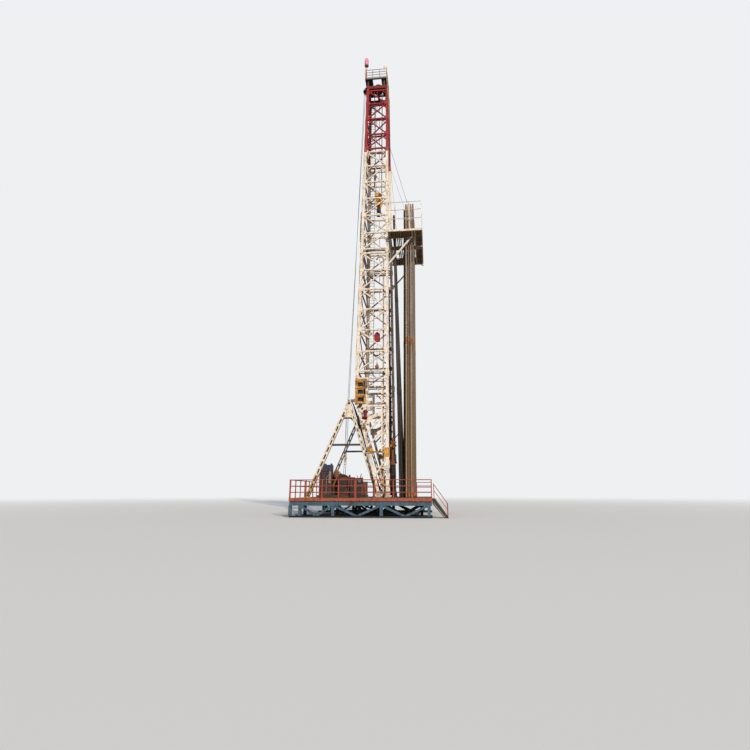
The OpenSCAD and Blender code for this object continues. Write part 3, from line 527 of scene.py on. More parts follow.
# %% Gusset plates
def gussets(heights, name, finish, sides=(-1, 1)):
    tall, thick, wide = 0.2, 0.012, 0.19
    mesh = bmesh.new()
    for z in heights:
        for s in sides:
            y = s * (half_y(z) + (chord + thick) / 2)
            lean = s * slope * tall / 2
            for x in (front_x - 0.035, rear_x(z) + 0.035):
                bar(mesh, (x, y + lean, z - tall / 2), (x, y - lean, z + tall / 2), wide, thick)
    return make(name, mesh, finish)


panel_levels = [z for z in levels if z not in (lower_joint, middle_joint, upper_joint)]
gussets(panel_levels, "near_gussets", cream, (-1,))
gussets(panel_levels, "far_gussets", shaded_cream, (1,))
gussets(top_levels[1:-1], "top_gussets", red)

# %% [markdown]
# Where two sections meet, each chord has a thick shoe on both sides and two pins through it,
# so that the mast can be taken apart for the road. The shoes are plates like the gussets, and
# the pins are rods. A black strip between the sections paints the shade under the joint.

# %% Section shoes
def section_shoes(heights, name, finish):
    tall, thick, wide, pin_r = 0.24, 0.022, 0.15, 0.022
    mesh = bmesh.new()
    for z in heights:
        for s in (-1, 1):
            for x in (front_x, rear_x(z)):
                for side in (-1, 1):
                    y = s * half_y(z) + side * (chord / 2 + 0.012)
                    lean = s * slope * tall / 2
                    bar(mesh, (x, y + lean, z - tall / 2), (x, y - lean, z + tall / 2), wide, thick)
                for dz in (-0.06, 0.06):
                    rod(mesh, (x, s * half_y(z) - 0.1, z + dz), Y, pin_r, 0.2, 10)
    return make(name, mesh, finish, bevel=0.004)


section_shoes([lower_joint, middle_joint], "section_shoes", cream)
section_shoes([upper_joint], "red_section_shoes", rail_red)

mesh = bmesh.new()
for z in (lower_joint, middle_joint):
    for s in (-1, 1):
        y = s * (half_y(z) + 0.012)
        bar(mesh, (rear_x(z) - 0.07, y, z), (front_x + 0.07, y, z), 0.034, 0.06)
make("joint_shade_strips", mesh, black_paint)

# %% [markdown]
# Between its chords a mast panel has more steel than its main bars: knee braces under the
# level bars, and a thin upright that halves each bay. They make the inside look dense from
# below. All are plain bars, welded at their ends, so a loop over the bays lays them down.

# %% Fine bracing of the panels
def fine_bars(low, high, count, name, finish, s):
    thin, stub = 0.03, 0.024
    mesh = bmesh.new()
    step = (high - low) / count
    for k in range(count):
        a, b = low + k * step, low + (k + 1) * step
        for x, run in ((front_x - 0.05, -0.3), (rear_x(b) + 0.05, 0.3)):
            bar(mesh, (x, s * half_y(b - 0.32), b - 0.32),
                (x + run, s * half_y(b - 0.03), b - 0.03), thin, thin)
        # from the crossing of the braces to the level bar above it
        x, y = (front_x + rear_x(a)) / 2, s * (half_y(a) + half_y(b)) / 2
        bar(mesh, (x, y, (a + b) / 2), (x, s * half_y(b), b - 0.02), stub, stub)
    return make(name, mesh, finish)


fine_bars(lower_joint, middle_joint, 6, "lower_fine_bars", cream, -1)
fine_bars(middle_joint, upper_joint, 6, "upper_fine_bars", cream, -1)
fine_bars(lower_joint, upper_joint, 12, "far_fine_bars", shaded_cream, 1)
fine_bars(upper_joint, top_z, 4, "top_fine_bars", red, -1)
fine_bars(upper_joint, top_z, 4, "top_far_fine_bars", shaded_red, 1)

# %% [markdown]
# The back of the mast has short level bars and struts across its corners. They stop short of
# the middle, because the travelling block runs there.

# %% Bars in the back corners
mesh = bmesh.new()
for a, b in zip(levels, levels[1:]):
    xa, xb, ya, yb = rear_x(a), rear_x(b), half_y(a), half_y(b)
    for s in (-1, 1):
        bar(mesh, (xa, s * (ya - 0.06), a + 0.02), (xa, s * (ya - 0.62), b - 0.1), 0.034, 0.03, X)
        bar(mesh, (xb, s * (yb - 0.05), b - 0.05), (xb + 0.42, s * (yb - 0.04), b - 0.42), 0.03, 0.028)
make("back_corner_bars", mesh, shaded_cream)

# %% [markdown]
# Above the foot the level bars are a separate set in oxide brown, one stout and three thin.
# They are angle bars clamped on, so they are laid just outside the chords.

# %% Brown level bars
mesh = bmesh.new()
for z, start_x, deep in ((4.26, -0.1, 0.05), (4.65, -0.17, 0.03), (4.93, -0.17, 0.03), (5.2, -0.17, 0.03)):
    for s in (-1, 1):
        y = s * (half_y(z) + 0.045)
        bar(mesh, (start_x, y, z), (0.62, y, z), 0.03, deep)
make("brown_level_bars", mesh, brown_paint, bevel=0.004)

# %% [markdown]
# The head of the cream section has an arched guide on each side that steers the red section
# when the mast is drawn out. It follows the lean of the chords, so its points are worked out
# one by one instead of as a flat arc.

# %% Arched guides
guide_z, guide_foot, middle_x = 17.16, 16.3, 0.14
arch_high, arch_half, arch_parts = 0.32, 0.3, 12
mesh = bmesh.new()
for s in (-1, 1):
    arch = []
    for k in range(arch_parts + 1):
        t = math.pi * k / arch_parts
        z = guide_z + arch_high * math.sin(t)
        arch.append((middle_x - arch_half * math.cos(t), s * (half_y(z) - 0.075), z))
    tube(mesh, arch, 0.026, 8)
    for x in (middle_x - arch_half, middle_x + arch_half):
        bar(mesh, (x, s * (half_y(guide_foot) - 0.07), guide_foot),
            (x, s * (half_y(guide_z) - 0.075), guide_z + 0.02), 0.05, 0.03)
make("arched_guides", mesh, cream, smooth=True)

# %% [markdown]
# A ladder with round rungs runs up inside the far panel. Its stringers follow the taper, and
# the rungs stand a forearm apart, so a loop up the height is all it takes.

# %% Ladder
ladder_half, ladder_foot, ladder_tall, ladder_parts = 0.11, 5.7, 15.5, 10
first_rung, rung_pitch, rungs = 5.75, 0.15, 103


def far_ladder(z, side):
    return (rear_x(z) + 0.2 + side, half_y(z) - chord / 2 - 0.05, z)


mesh = bmesh.new()
for side in (-ladder_half, ladder_half):
    heights = [ladder_foot + ladder_tall * i / ladder_parts for i in range(ladder_parts + 1)]
    tube(mesh, [far_ladder(z, side) for z in heights], 0.013, 6)
for k in range(rungs):
    z = first_rung + k * rung_pitch
    tube(mesh, [far_ladder(z, -ladder_half), far_ladder(z, ladder_half)], 0.009, 5)
make("mast_ladder", mesh, shaded_cream)

# %% [markdown]
# The lamps' cables climb the near rear chord, tied at every hand's breadth, so they wave a
# little between the ties. Spare turns hang below the joint of the sections. A sine with a
# different start for each cable gives the waves without any chance in them.

# %% Cables on the chord
cable_foot, cable_tall, cable_parts, cable_r = 5.7, 15.3, 59, 0.009
spare_turns, spare_foot, spare_pitch = 9, 12.05, 0.17
mesh = bmesh.new()
for k, inward in enumerate((0.02, 0.045, 0.07)):
    path = []
    for i in range(cable_parts + 1):
        z = cable_foot + cable_tall * i / cable_parts
        wave = 0.008 * math.sin(i * 1.3 + k)
        path.append((rear_x(z) - 0.075 + wave, -(half_y(z) - inward), z))
    tube(mesh, path, cable_r, 6)
for k in range(spare_turns):
    z = spare_foot + k * spare_pitch
    centre = (rear_x(z) - 0.083, -(half_y(z) - 0.03), z)
    tube(mesh, arc(centre, (0.028, 0, 0), (0, 0, 0.1 + 0.03 * (k % 3)), 0, 2 * math.pi, 14), 0.016, 6)
make("chord_cables", mesh, rubber_hose, smooth=True)

# %% [markdown]
# The drilling line runs over each crown sheave and under each block sheave. The solids have
# its straight parts, so half turns of rope close the loops. Those on the block ride with it.
# A turn of rope looks the same however far its sheave has turned, so the others stay put.

# %% Ropes on the sheaves
rope_r, groove, sheave_pitch = 0.009, 0.0247, 0.062
well_x, crown_z, block_axle = 0.146, 21.835, 14.97
fast_x, fast_z = -0.46, 21.77


def rope_turns(name, x, z, sheave_r, start, end, count=5, body="rig"):
    mesh = bmesh.new()
    r = sheave_r - groove
    for i in range(count):
        y = (i - (count - 1) / 2) * sheave_pitch
        tube(mesh, arc((x, y, z), (r, 0, 0), (0, 0, r), start, end, 16), rope_r, 8)
    return make(name, mesh, rope_steel, body, smooth=True)


rope_turns("crown_rope_turns", well_x, crown_z, 0.235, 0, math.pi)
rope_turns("block_rope_turns", well_x, block_axle, 0.17, 0, -math.pi, body="block")
rope_turns("fast_rope_turn", fast_x, fast_z, 0.19, 0.25, math.pi, count=1)

# %% [markdown]
# The line from the fast sheave winds on the drum in neat turns, each one rope beside the last.
# That is a helix: the angle and the place along the drum grow together.

# %% Rope on the drum
drum_x, drum_z, drum_r, drum_half = -1.52, 1.225, 0.19, 0.62
turns, around = 66, 20
wound_r = drum_r + rope_r
mesh = bmesh.new()
helix = []
for k in range(turns * around + 1):
    t = 2 * math.pi * k / around
    helix.append((drum_x + wound_r * math.cos(t), -drum_half + 2 * drum_half * k / (turns * around),
                  drum_z + wound_r * math.sin(t)))
tube(mesh, helix, rope_r, 6)
make("drum_rope", mesh, rope_steel, smooth=True)

# %% [markdown]
# The dead end of the line comes down the back of the mast to an anchor on the floor, a small
# fixed drum on a bracket. It is taut, so it is one straight tube.

# %% Dead line and anchor
anchor_x, line_top = -1.36, 21.5
mesh = bmesh.new()
tube(mesh, [(-0.55, -0.13, line_top), (anchor_x, -0.30, 0.95)], rope_r, 6)
bar(mesh, (-0.42, -0.13, line_top), (-0.57, -0.13, line_top), 0.06, 0.05)
spool = [(0.09, 0.0), (0.09, 0.02), (0.06, 0.03), (0.06, 0.09), (0.09, 0.1), (0.09, 0.12)]
turned(mesh, (anchor_x, -0.36, 0.9), Y, spool, 20)
bar(mesh, (anchor_x, -0.30, 0.75), (anchor_x, -0.30, 0.9), 0.06, 0.16)
make("dead_line", mesh, rope_steel)

# %% [markdown]
# The fast sheave has a guard, so that a slack rope can't jump off it, and a dark strut under
# it. The guard's rims are short bars along an arc, because a flat strap has square edges that
# a tube would lose.

# %% Guard of the fast sheave
guard_r, rim_y = 0.222, 0.034
mesh = bmesh.new()
for s in (-1, 1):
    rim = arc((fast_x, s * rim_y, fast_z), (guard_r, 0, 0), (0, 0, guard_r), math.pi / 2, 1.5 * math.pi, 10)
    for p, q in zip(rim, rim[1:]):
        bar(mesh, p, q, 0.012, 0.03)
bar(mesh, (fast_x - 0.01, 0, 21.46), (fast_x + 0.02, 0, 21.08), 0.11, 0.13)
for y in (-0.052, 0.052):
    bar(mesh, (fast_x - 0.21, y, fast_z), (fast_x - 0.07, y, fast_z), 0.014, 0.12)
make("fast_sheave_guard", mesh, shaded_red)

# %% [markdown]
# A pale pole for cables stands on the crown's front corner and follows the mast down past the
# red section, clipped on at three heights. The railing's corners have broader plates in the
# same faded orange.

# %% Pole and corner plates
pole_y = -0.672
pole = [(0.662, pole_y, 22.7), (0.662, pole_y, 22.0), (0.69, -0.68, 21.25), (0.725, -0.70, 20.8),
        (0.735, -0.80, 18.9)]
mesh = bmesh.new()
tube(mesh, pole, 0.017, 8)
for z, x, y in ((21.25, 0.69, 0.68), (20.3, 0.727, 0.73), (19.0, 0.734, 0.79)):
    bar(mesh, (front_x + 0.03, -(half_y(z) + 0.02), z), (x, -y, z), 0.03, 0.02)
make("crown_pole", mesh, crown_orange, smooth=True)

mesh = bmesh.new()
for x in (-0.486, 0.645):
    bar(mesh, (x, pole_y, 21.98), (x, pole_y, 22.66), 0.05, 0.02)
make("crown_corner_plates", mesh, crown_orange, bevel=0.003)

# %% [markdown]
# Above the fast sheave two cheek plates and a cap keep the line in its groove. They stand a
# hair clear of the sheave, because it turns and they don't.

# %% Guide over the fast sheave
guide_x = fast_x - 0.03
mesh = bmesh.new()
for s in (-1, 1):
    bar(mesh, (guide_x, s * 0.075, 21.86), (guide_x, s * 0.075, 21.97), 0.16, 0.02)
bar(mesh, (fast_x - 0.10, 0, 21.975), (fast_x + 0.06, 0, 21.975), 0.02, 0.17, Z)
make("line_guide", mesh, shaded_red)

# %% [markdown]
# A lamp beside the pole lights the board. It is a spun shade and a domed glass, both turned
# round the direction in which it points, outwards and down.

# %% Lamp at the crown
lamp_x, lamp_z, lamp_way = 0.52, 22.77, (0.35, -1, -0.35)
shade = [(0.02, -0.05), (0.045, 0.0), (0.07, 0.05), (0.074, 0.07)]
dome = [(0.066, 0.0), (0.05, 0.012), (0.02, 0.018)]
mesh = bmesh.new()
tube(mesh, [(lamp_x, -0.64, lamp_z - 0.22), (lamp_x, -0.64, lamp_z - 0.03)], 0.014, 8)
turned(mesh, (lamp_x, -0.60, lamp_z), lamp_way, shade)
make("crown_lamp_housing", mesh, cream, smooth=True)
mesh = bmesh.new()
turned(mesh, (lamp_x + 0.018, -0.652, lamp_z - 0.018), lamp_way, dome)
make("crown_lamp_glass", mesh, dial_white, smooth=True)

# %% [markdown]
# The beacon is the highest point: a pink glass with a band round it, in a wire cage, so that
# a swinging line can't break it. The cage is three rings and six uprights.

# %% Beacon
beacon_x, beacon_y, beacon_z = -0.44, -0.57, 23.0
cage_r, cage_wire, cage_top = 0.108, 0.005, 23.42
mesh = bmesh.new()
for z in (23.03, 23.22, 23.4):
    ring = arc((beacon_x, beacon_y, z), (cage_r, 0, 0), (0, cage_r, 0), 0, 2 * math.pi, 24)
    tube(mesh, ring[:-1], cage_wire, 6, closed=True)
feet = arc((beacon_x, beacon_y, beacon_z), (cage_r, 0, 0), (0, cage_r, 0), 0, 2 * math.pi, 6)[:-1]
for x, y, z in feet:
    tube(mesh, [(x, y, z), (x, y, cage_top)], cage_wire, 6)
turned(mesh, (beacon_x, beacon_y, beacon_z - 0.06), Z, [(0.05, 0.0), (0.114, 0.02), (0.114, 0.06)], 24)
make("beacon_cage", mesh, crown_pale, smooth=True)
mesh = bmesh.new()
glass = [(0.098, 0.0), (0.103, 0.02), (0.1, 0.19), (0.103, 0.2), (0.1, 0.21), (0.096, 0.36),
         (0.078, 0.412), (0.04, 0.43)]
turned(mesh, (beacon_x, beacon_y, beacon_z), Z, glass, 28)
make("beacon_glass", mesh, lens_pink, smooth=True)

# %% [markdown]
# The crown's walkway is a grating. From below its bearing bars and the joists under them show
# as dark lines against the sky, so both are laid as bars and the gaps between stay open.

# %% Grating of the crown
grating_pitch, grating_z, grating_half = 0.045, 21.976, 0.62
mesh = bmesh.new()
for x0, x1 in ((-0.5, -0.12), (0.37, 0.66)):
    for k in range(int((x1 - x0) / grating_pitch)):
        x = x0 + 0.02 + k * grating_pitch
        bar(mesh, (x, -grating_half, grating_z), (x, grating_half, grating_z), 0.006, 0.02, Z)
for x in (-0.47, -0.15, 0.4, 0.62):
    bar(mesh, (x, -0.58, 21.955), (x, 0.58, 21.955), 0.05, 0.05, Z)
make("crown_grating", mesh, dark_plate)

# %% [markdown]
# Racked drill pipe is not a plain bar. Each length has a thicker tool joint at both ends, and
# a stand here is two lengths screwed together, so rusty rings show at the foot, half way up
# and at the top. The middle ones differ a little in height, as lengths of pipe do.

# %% Tool joints
floor_z, mat = 0.665, 0.012
rack_z = floor_z + mat
row_y0, row_pitch, joint_r, columns, rows = 1.02, 0.15, 0.0395, 5, 5
mesh = bmesh.new()
for s in (-1, 1):
    for i in range(columns):
        for j in range(rows):
            if s < 0 and i == 0 and j < 3:
                continue  # three collars stand there
            x, y = pipe_x0 + i * pipe_pitch, s * (row_y0 - j * row_pitch)
            for h, tall in ((0.0, 0.16), (6.25 + 0.05 * ((i + 2 * j) % 3), 0.3), (12.78, 0.4)):
                base = (x + pipe_lean * (h + 0.01) / stand_len, y, rack_z + h + 0.008)
                turned(mesh, base, (pipe_lean, 0, stand_len),
                       [(0.033, 0.0), (joint_r, 0.02), (joint_r, tall * 0.45), (0.035, tall * 0.5),
                        (joint_r, tall * 0.55), (joint_r, tall - 0.02), (0.033, tall)], 10)
make("tool_joints", mesh, joint_rust, smooth=True)

# %% [markdown]
# Collars are thick bars that put weight on the bit. Where two of them are screwed together, a
# turned band shows, a few millimetres wider than the bar.

# %% Collar joints
collar_x0, collar_fan, collar_top, collar_len = 1.075, 0.074, 0.96, 12.65
mesh = bmesh.new()
for j in range(3):
    x, y = collar_x0 + j * collar_fan, -row_y0 + j * row_pitch
    lean = collar_top - x
    for h in (4.1, 8.3, 12.3):
        turned(mesh, (x + lean * h / collar_len, y, rack_z + h), (lean, 0, collar_len),
               [(0.046, 0.0), (0.049, 0.01), (0.049, 0.3), (0.046, 0.31)], 14)
make("collar_joints", mesh, greased_collar, smooth=True)

# %% [markdown]
# The racking board is a steel grating in a frame, and the photograph sees it from below. Only
# bars laid one by one give the fine dark lines of that view: bearing bars under the fingers
# and the walkway, and joists across them.

# %% Board underside
board_z, board_half = 12.15, 1.69
side_bars, side_pitch, walk_bars, walk_pitch = 10, 0.055, 62, 0.0554
side_z, walk_z, joist_z, outer_joist_z = [board_z - down for down in (0.052, 0.056, 0.085, 0.1)]
mesh = bmesh.new()
for s in (-1, 1):
    for k in range(side_bars):
        y = s * (1.16 + k * side_pitch)
        bar(mesh, (0.80, y, side_z), (1.90, y, side_z), 0.006, 0.022, Z)
for k in range(walk_bars):
    y = -board_half + k * walk_pitch
    bar(mesh, (1.98, y, walk_z), (2.21, y, walk_z), 0.006, 0.022, Z)
make("board_grating_bars", mesh, board_under)

mesh = bmesh.new()
for x in (0.81, 1.12, 1.2, 1.28):
    bar(mesh, (x, -board_half, joist_z), (x, board_half, joist_z), 0.045, 0.06, Z)
for s in (-1, 1):
    for x in (1.0, 1.45, 1.68):
        bar(mesh, (x, s * 1.14, joist_z), (x, s * 1.7, joist_z), 0.04, 0.05, Z)
for y in (-1.3, -0.7, -0.1, 0.5, 1.1, 1.5):
    bar(mesh, (1.99, y, outer_joist_z), (2.2, y, outer_joist_z), 0.05, 0.05, Z)
make("board_joists", mesh, board_under)

# %% [markdown]
# A few bars under the board, and the brackets at its corners, are a clean white, brighter than
# their shade would leave them: painted light. They stand out of the dark underside like a line of chalk.

# %% Bars of the board with painted light
mesh = bmesh.new()
bar(mesh, (1.99, -0.34, board_z - 0.15), (2.26, -0.34, board_z - 0.15), 0.065, 0.05, Z)
for s in (-1, 1):
    bar(mesh, (2.262, s * 1.68, board_z - 0.1), (2.262, s * 1.74, board_z - 0.04), 0.03, 0.03)
bar(mesh, (2.20, 1.66, board_z - 0.13), (2.28, 1.74, board_z - 0.13), 0.09, 0.09)
make("board_painted_light_bars", mesh, dial_white)

# %% [markdown]
# Taut lines from the mast hold the board's outer edge. The near one ends in a screw that sets
# its length, turned like the other fittings.

# %% Lines that hold the board
line_x, fence_y, fence_z, far_z = 0.71, 1.735, 13.56, 17.3
screw = [(0.012, 0.0), (0.02, 0.02), (0.02, 0.06), (0.01, 0.08)]
mesh = bmesh.new()
tube(mesh, [(line_x, -0.83, 17.72), (1.62, -fence_y, fence_z)], 0.008, 6)
turned(mesh, (1.615, -fence_y, 13.53), (0.2, -0.2, 1), screw, 8)
for x in (0.95, 1.9):
    tube(mesh, [(x, fence_y, fence_z), (line_x, half_y(far_z) + 0.03, far_z)], 0.006, 6)
make("board_lines", mesh, rope_steel)

# %% [markdown]
# Hoses and thin pipes climb the mast and the legs, held by clips, so they hardly sag but
# never run quite straight. One helper lays such a line through a few chosen points, cuts it
# into short lengths and lets it sway by a few millimetres.

# %% A line on clips
eye_z, apex_x, apex_z = 4.42, -0.917, 4.356
rear_shoe_x, front_shoe_x, shoe_z = -2.5, 0.27, 0.685


def clipped(name, lines, radius, finish=rubber_hose):
    mesh = bmesh.new()
    for path in lines:
        fine = []
        for p, q in zip(path, path[1:]):
            p, q = Vector(p), Vector(q)
            pieces = max(2, int((q - p).length / 0.25))
            for i in range(pieces):
                t = i / pieces
                sway = 0.006 * math.sin(11 * (p.z + (q.z - p.z) * t))
                fine.append(p + (q - p) * t + Vector((sway, 0, 0)))
        fine.append(Vector(path[-1]))
        tube(mesh, fine, radius, 8)
    return make(name, mesh, finish, smooth=True)


def on_leg(z, off, y):
    share = (eye_z - z) / (eye_z - shoe_z)
    return (apex_x + share * (front_shoe_x - apex_x) + off, y, z)


# three hoses follow the near A-frame's front leg down to the floor
clipped("leg_hoses", [[(-0.80, -1.72, 4.40), on_leg(3.9, 0.11 + 0.03 * k, -1.72 - 0.02 * k),
                       on_leg(2.4, 0.10 + 0.03 * k, -1.72 - 0.02 * k),
                       on_leg(1.1, 0.10 + 0.03 * k, -1.7), on_leg(0.80, 0.16 + 0.05 * k, -1.62)]
                      for k in range(3)], 0.016)

# %% [markdown]
# Inside the far front chord stand a black riser and a red standpipe, both on the same clips.
# From the front they show through the open lattice, which makes the mast look deep.

# %% Riser and standpipe on the far chord
riser = [(0.535, half_y(z) - 0.16, z) for z in (0.72, 2.0, 4.0, 6.0, 8.0, 10.6)]
clipped("far_riser", [riser], 0.034, black_paint)
far_pipe = [(0.47, half_y(z) - 0.15, z) for z in (0.72, 2.0, 4.0, 6.0, 7.2)]
clipped("far_standpipe", [far_pipe], 0.03, shaded_red)
clips, clip_pitch = 8, 1.3
mesh = bmesh.new()
for k in range(clips):
    z = round(clip_pitch * (k + 1), 1)
    bar(mesh, (0.44, half_y(z) - 0.11, z), (0.60, half_y(z) - 0.11, z), 0.04, 0.03)
make("riser_clips", mesh, brown_paint)

# %% [markdown]
# Spare cable hangs in turns on the near front chord below the board, where it was coiled up
# when the mast was raised. The turns are closed rings, side by side.

# %% Cable turns on the front chord
clipped("front_chord_cables", [[(0.735 + 0.012 * k, -(half_y(z) - 0.03 * k), z) for z in (11.9, 11.0, 10.6)]
                               for k in range(2)], 0.008)

turn_wide, turn_high = 0.045, 0.12
mesh = bmesh.new()
for k in range(3):
    for z in (10.1, 10.35):
        centre = (0.75, -(half_y(z) - 0.02 * k), z)
        turn = arc(centre, (turn_wide, 0, 0), (0, 0, turn_high), 0, 2 * math.pi, 14)[:-1]
        tube(mesh, turn, 0.008, 6, closed=True)
make("front_cable_turns", mesh, rubber_hose, smooth=True)

# %% [markdown]
# The near standpipe is a solid already. What it lacks are the couplings where its lengths
# meet, the clips that hold it, and the goose neck at its top, from which the mud hose hangs
# when the rig drills.

# %% Fittings of the near standpipe
stand_x, neck_z, neck_r = 0.475, 10.98, 0.16


def stand_y(z):
    return -(half_y(z) - 0.103)


mesh = bmesh.new()
for z in (1.6, 2.6, 3.6, 4.6, 5.56, 6.5, 7.5, 8.5, 9.5, 10.4):
    y = stand_y(z)
    turned(mesh, (stand_x, y, z - 0.03), Z, chamfered(0.05, 0.06, 0.04), 14)
    bar(mesh, (stand_x, y - 0.03, z), (stand_x, y - 0.085, z), 0.05, 0.02)
centre = (stand_x - neck_r, stand_y(11.0) + 0.02, neck_z)
neck = arc(centre, (neck_r, 0, 0), (0, 0, neck_r), 0, math.pi * 10 / 12, 10)
tube(mesh, neck, 0.034, 12)
neck_x, neck_y, neck_end = neck[-1]
turned(mesh, (neck_x, neck_y, neck_end - 0.05), Z,
       [(0.045, 0.0), (0.052, 0.01), (0.052, 0.05), (0.04, 0.06)], 14)
make("standpipe_fittings", mesh, shaded_cream, smooth=True)

# %% [markdown]
# The A-frame's legs are box sections: two side walls, and two faces with a long slot in
# every bay that lets the inside be painted. A cut with a boolean would do, but here each
# face is laid out as two strips and a rung between the slots, so that the slots stay exact.

# %% A slotted leg
def slotted_leg(mesh, foot, top, wide, deep, slot_long, slot_wide, pitch, plate=0.006):
    side = Vector(Y)
    along = (top - foot).normalized()
    across = side.cross(along).normalized()
    length = (top - foot).length
    for i in range(int(length / pitch) + 1):
        low, high = foot + along * (i * pitch), foot + along * min((i + 1) * pitch, length)
        rung = along * (pitch - slot_long) / 2
        for s in (-1, 1):
            wall, face = across * s * (wide - plate) / 2, side * s * (deep - plate) / 2
            bar(mesh, low + wall, high + wall, plate, deep)
            for e in (-1, 1):
                strip = across * e * (wide + slot_wide) / 4
                bar(mesh, low + face + strip, high + face + strip, (wide - slot_wide) / 2, plate)
            bar(mesh, low + face, low + face + rung, slot_wide, plate)
            bar(mesh, high + face - rung, high + face, slot_wide, plate)


leg_top = Vector((apex_x, 0, apex_z))
rear_shoe, front_shoe = Vector((rear_shoe_x, 0, shoe_z)), Vector((front_shoe_x, 0, shoe_z))
print("leg lengths:", round((leg_top - rear_shoe).length, 2), round((leg_top - front_shoe).length, 2))

# %% [markdown]
# Gusset plates close the frame's top, where a pin holds the mast. Each is an outline, round
# above the eye and straight below, given a thickness. The helper sets such an outline
# upright, because every plate on these frames stands along the rig.

# %% An upright plate
def plate_xz(mesh, outline, x0, z0, y0, y1):
    near = [mesh.verts.new((x0 + x, y0, z0 + z)) for x, z in outline]
    far = [mesh.verts.new((x0 + x, y1, z0 + z)) for x, z in outline]
    mesh.faces.new(near)
    mesh.faces.new(far[::-1])
    for i in range(len(outline)):
        j = (i + 1) % len(outline)
        mesh.faces.new((near[i], near[j], far[j], far[i]))


eye_r = 0.078
gusset_outline = [(x, z) for x, y, z in arc((0, 0, 0), (eye_r, 0, 0), (0, 0, eye_r), 0, math.pi, 10)]
gusset_outline += [(-0.185, -0.69), (0.15, -0.69)]
print("a gusset has", len(gusset_outline), "corners")

# %% [markdown]
# The near frame is cream with a broad rear leg and stained feet; the far one is a grey brown,
# with the shaded cream, painted shade, on its front part. They stand for the two solids, whose
# slots are shorter and whose near rear leg is narrower. The level bars are dark replacements,
# and a black bar inside each near leg, painted shade, shows through its slots.

# %% The A-frames
frame_y, level_z, base_thick, ear_top = half_y(eye_z), 2.66, 0.024, 0.80
base_z = floor_z + base_thick / 2
rear_slots, front_slots = (0.205, 0.056, 0.3), (0.13, 0.04, 0.255)
level_share = (level_z - shoe_z) / (apex_z - shoe_z)
for s, word, rear_wide, front_wide, first, second, test in (
        (-1, "near", 0.15, 0.13, cream, cream_stained, lambda c: c.z < 1.5),
        (1, "far", 0.132, 0.116, grey_brown, shaded_cream, lambda c: c.x > -0.62)):
    at = Vector((0, s * frame_y, 0))
    mesh = bmesh.new()
    slotted_leg(mesh, rear_shoe + at, leg_top + at, rear_wide, 0.12, *rear_slots)
    slotted_leg(mesh, front_shoe + at, leg_top + at, front_wide, 0.112, *front_slots)
    for y0, y1 in ((-0.0705, -0.0605), (-0.036, 0.036), (0.0605, 0.0705)):
        plate_xz(mesh, gusset_outline, apex_x, eye_z, s * frame_y + y0, s * frame_y + y1)
    for shoe in (rear_shoe, front_shoe):
        y, foot = s * frame_y, floor_z + base_thick
        bar(mesh, (shoe.x - 0.12, y, base_z), (shoe.x + 0.12, y, base_z), base_thick, 0.18)
        for x in (-0.09, 0.09):
            bar(mesh, (shoe.x + x, y, foot), (shoe.x + 0.4 * x, y, ear_top), 0.016, 0.12)
    frame_piece = make("a_frame_" + word, mesh, first)
    second_finish(frame_piece, second, test)
    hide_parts("support_frame_" + word)
    mesh = bmesh.new()
    one, two = rear_shoe.lerp(leg_top, level_share) + at, front_shoe.lerp(leg_top, level_share) + at
    bar(mesh, one, two, 0.076, 0.076)
    make("level_bar_" + word, mesh, dark_tie, bevel=0.004)

# black bars inside the near legs: painted shade seen through the slots
mesh = bmesh.new()
for shoe in (rear_shoe, front_shoe):
    bar(mesh, shoe - Vector((0, frame_y, 0)), leg_top - Vector((0, frame_y, 0)), 0.1, 0.07)
make("leg_shade_bars", mesh, black_paint)

# %% [markdown]
# The board's near strut runs straight out from the mast's chord, not to the board's edge, so
# it looks shorter from below. The frame keeps the solid's own mesh; only the strut's faces
# are taken out, and a new strut, its seat and its foot plate are laid in.

# %% The board's near strut
mesh = bmesh.new()
mesh.from_mesh(nodes["racking_board"].data)
old_strut = [face for face in mesh.faces
             if face.calc_center_median().y < -0.9 and face.calc_center_median().z < board_z - 0.092]
bmesh.ops.delete(mesh, geom=old_strut, context="FACES")
for face in mesh.faces:
    face.material_index = 0
strut_y, strut_foot, strut_top = -1.29, 10.72, board_z - 0.10
bar(mesh, (0.738, strut_y, strut_foot), (1.818, strut_y, strut_top), 0.078, 0.06)
bar(mesh, (0.725, -1.295, strut_foot - 0.16), (0.725, -1.295, strut_foot + 0.04), 0.03, 0.12)
bar(mesh, (1.82, -1.14, strut_top), (1.82, -1.75, strut_top), 0.07, 0.02, Z)
board_frame = make("board_frame", mesh, cream)
# the struts are a clean white, brighter than their shade would leave them: painted light
second_finish(board_frame, dial_white, lambda c: abs(c.y) > 1.2 and 10.8 < c.z < 11.9)
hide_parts("racking_board")
print("strut faces taken out:", len(old_strut))

# %% [markdown]
# Near the A-frame's top, tilted plates hang between frame and mast: a white link with a slot,
# two gussets and a black sheet behind them that paints the shade of the gap. They differ only in
# size and tilt, so one helper lays a plate at an angle, with a slot where it is asked for.

# %% Tilted plates
def tilted_plate(mesh, centre, length, width, thick, degrees, slot_long=0.0, slot_wide=0.0):
    angle = math.radians(degrees)
    c, u = Vector(centre), Vector((math.cos(angle), 0, math.sin(angle)))
    v = Vector((-math.sin(angle), 0, math.cos(angle)))
    if not slot_long:
        bar(mesh, c - u * (length / 2), c + u * (length / 2), thick, width, v)
        return
    bar(mesh, c - u * (length / 2), c - u * (slot_long / 2), thick, width, v)
    bar(mesh, c + u * (slot_long / 2), c + u * (length / 2), thick, width, v)
    rim = (width - slot_wide) / 2
    for s in (-1, 1):
        off = v * s * (rim + slot_wide) / 2
        bar(mesh, c - u * (slot_long / 2) + off, c + u * (slot_long / 2) + off, thick, rim, v)


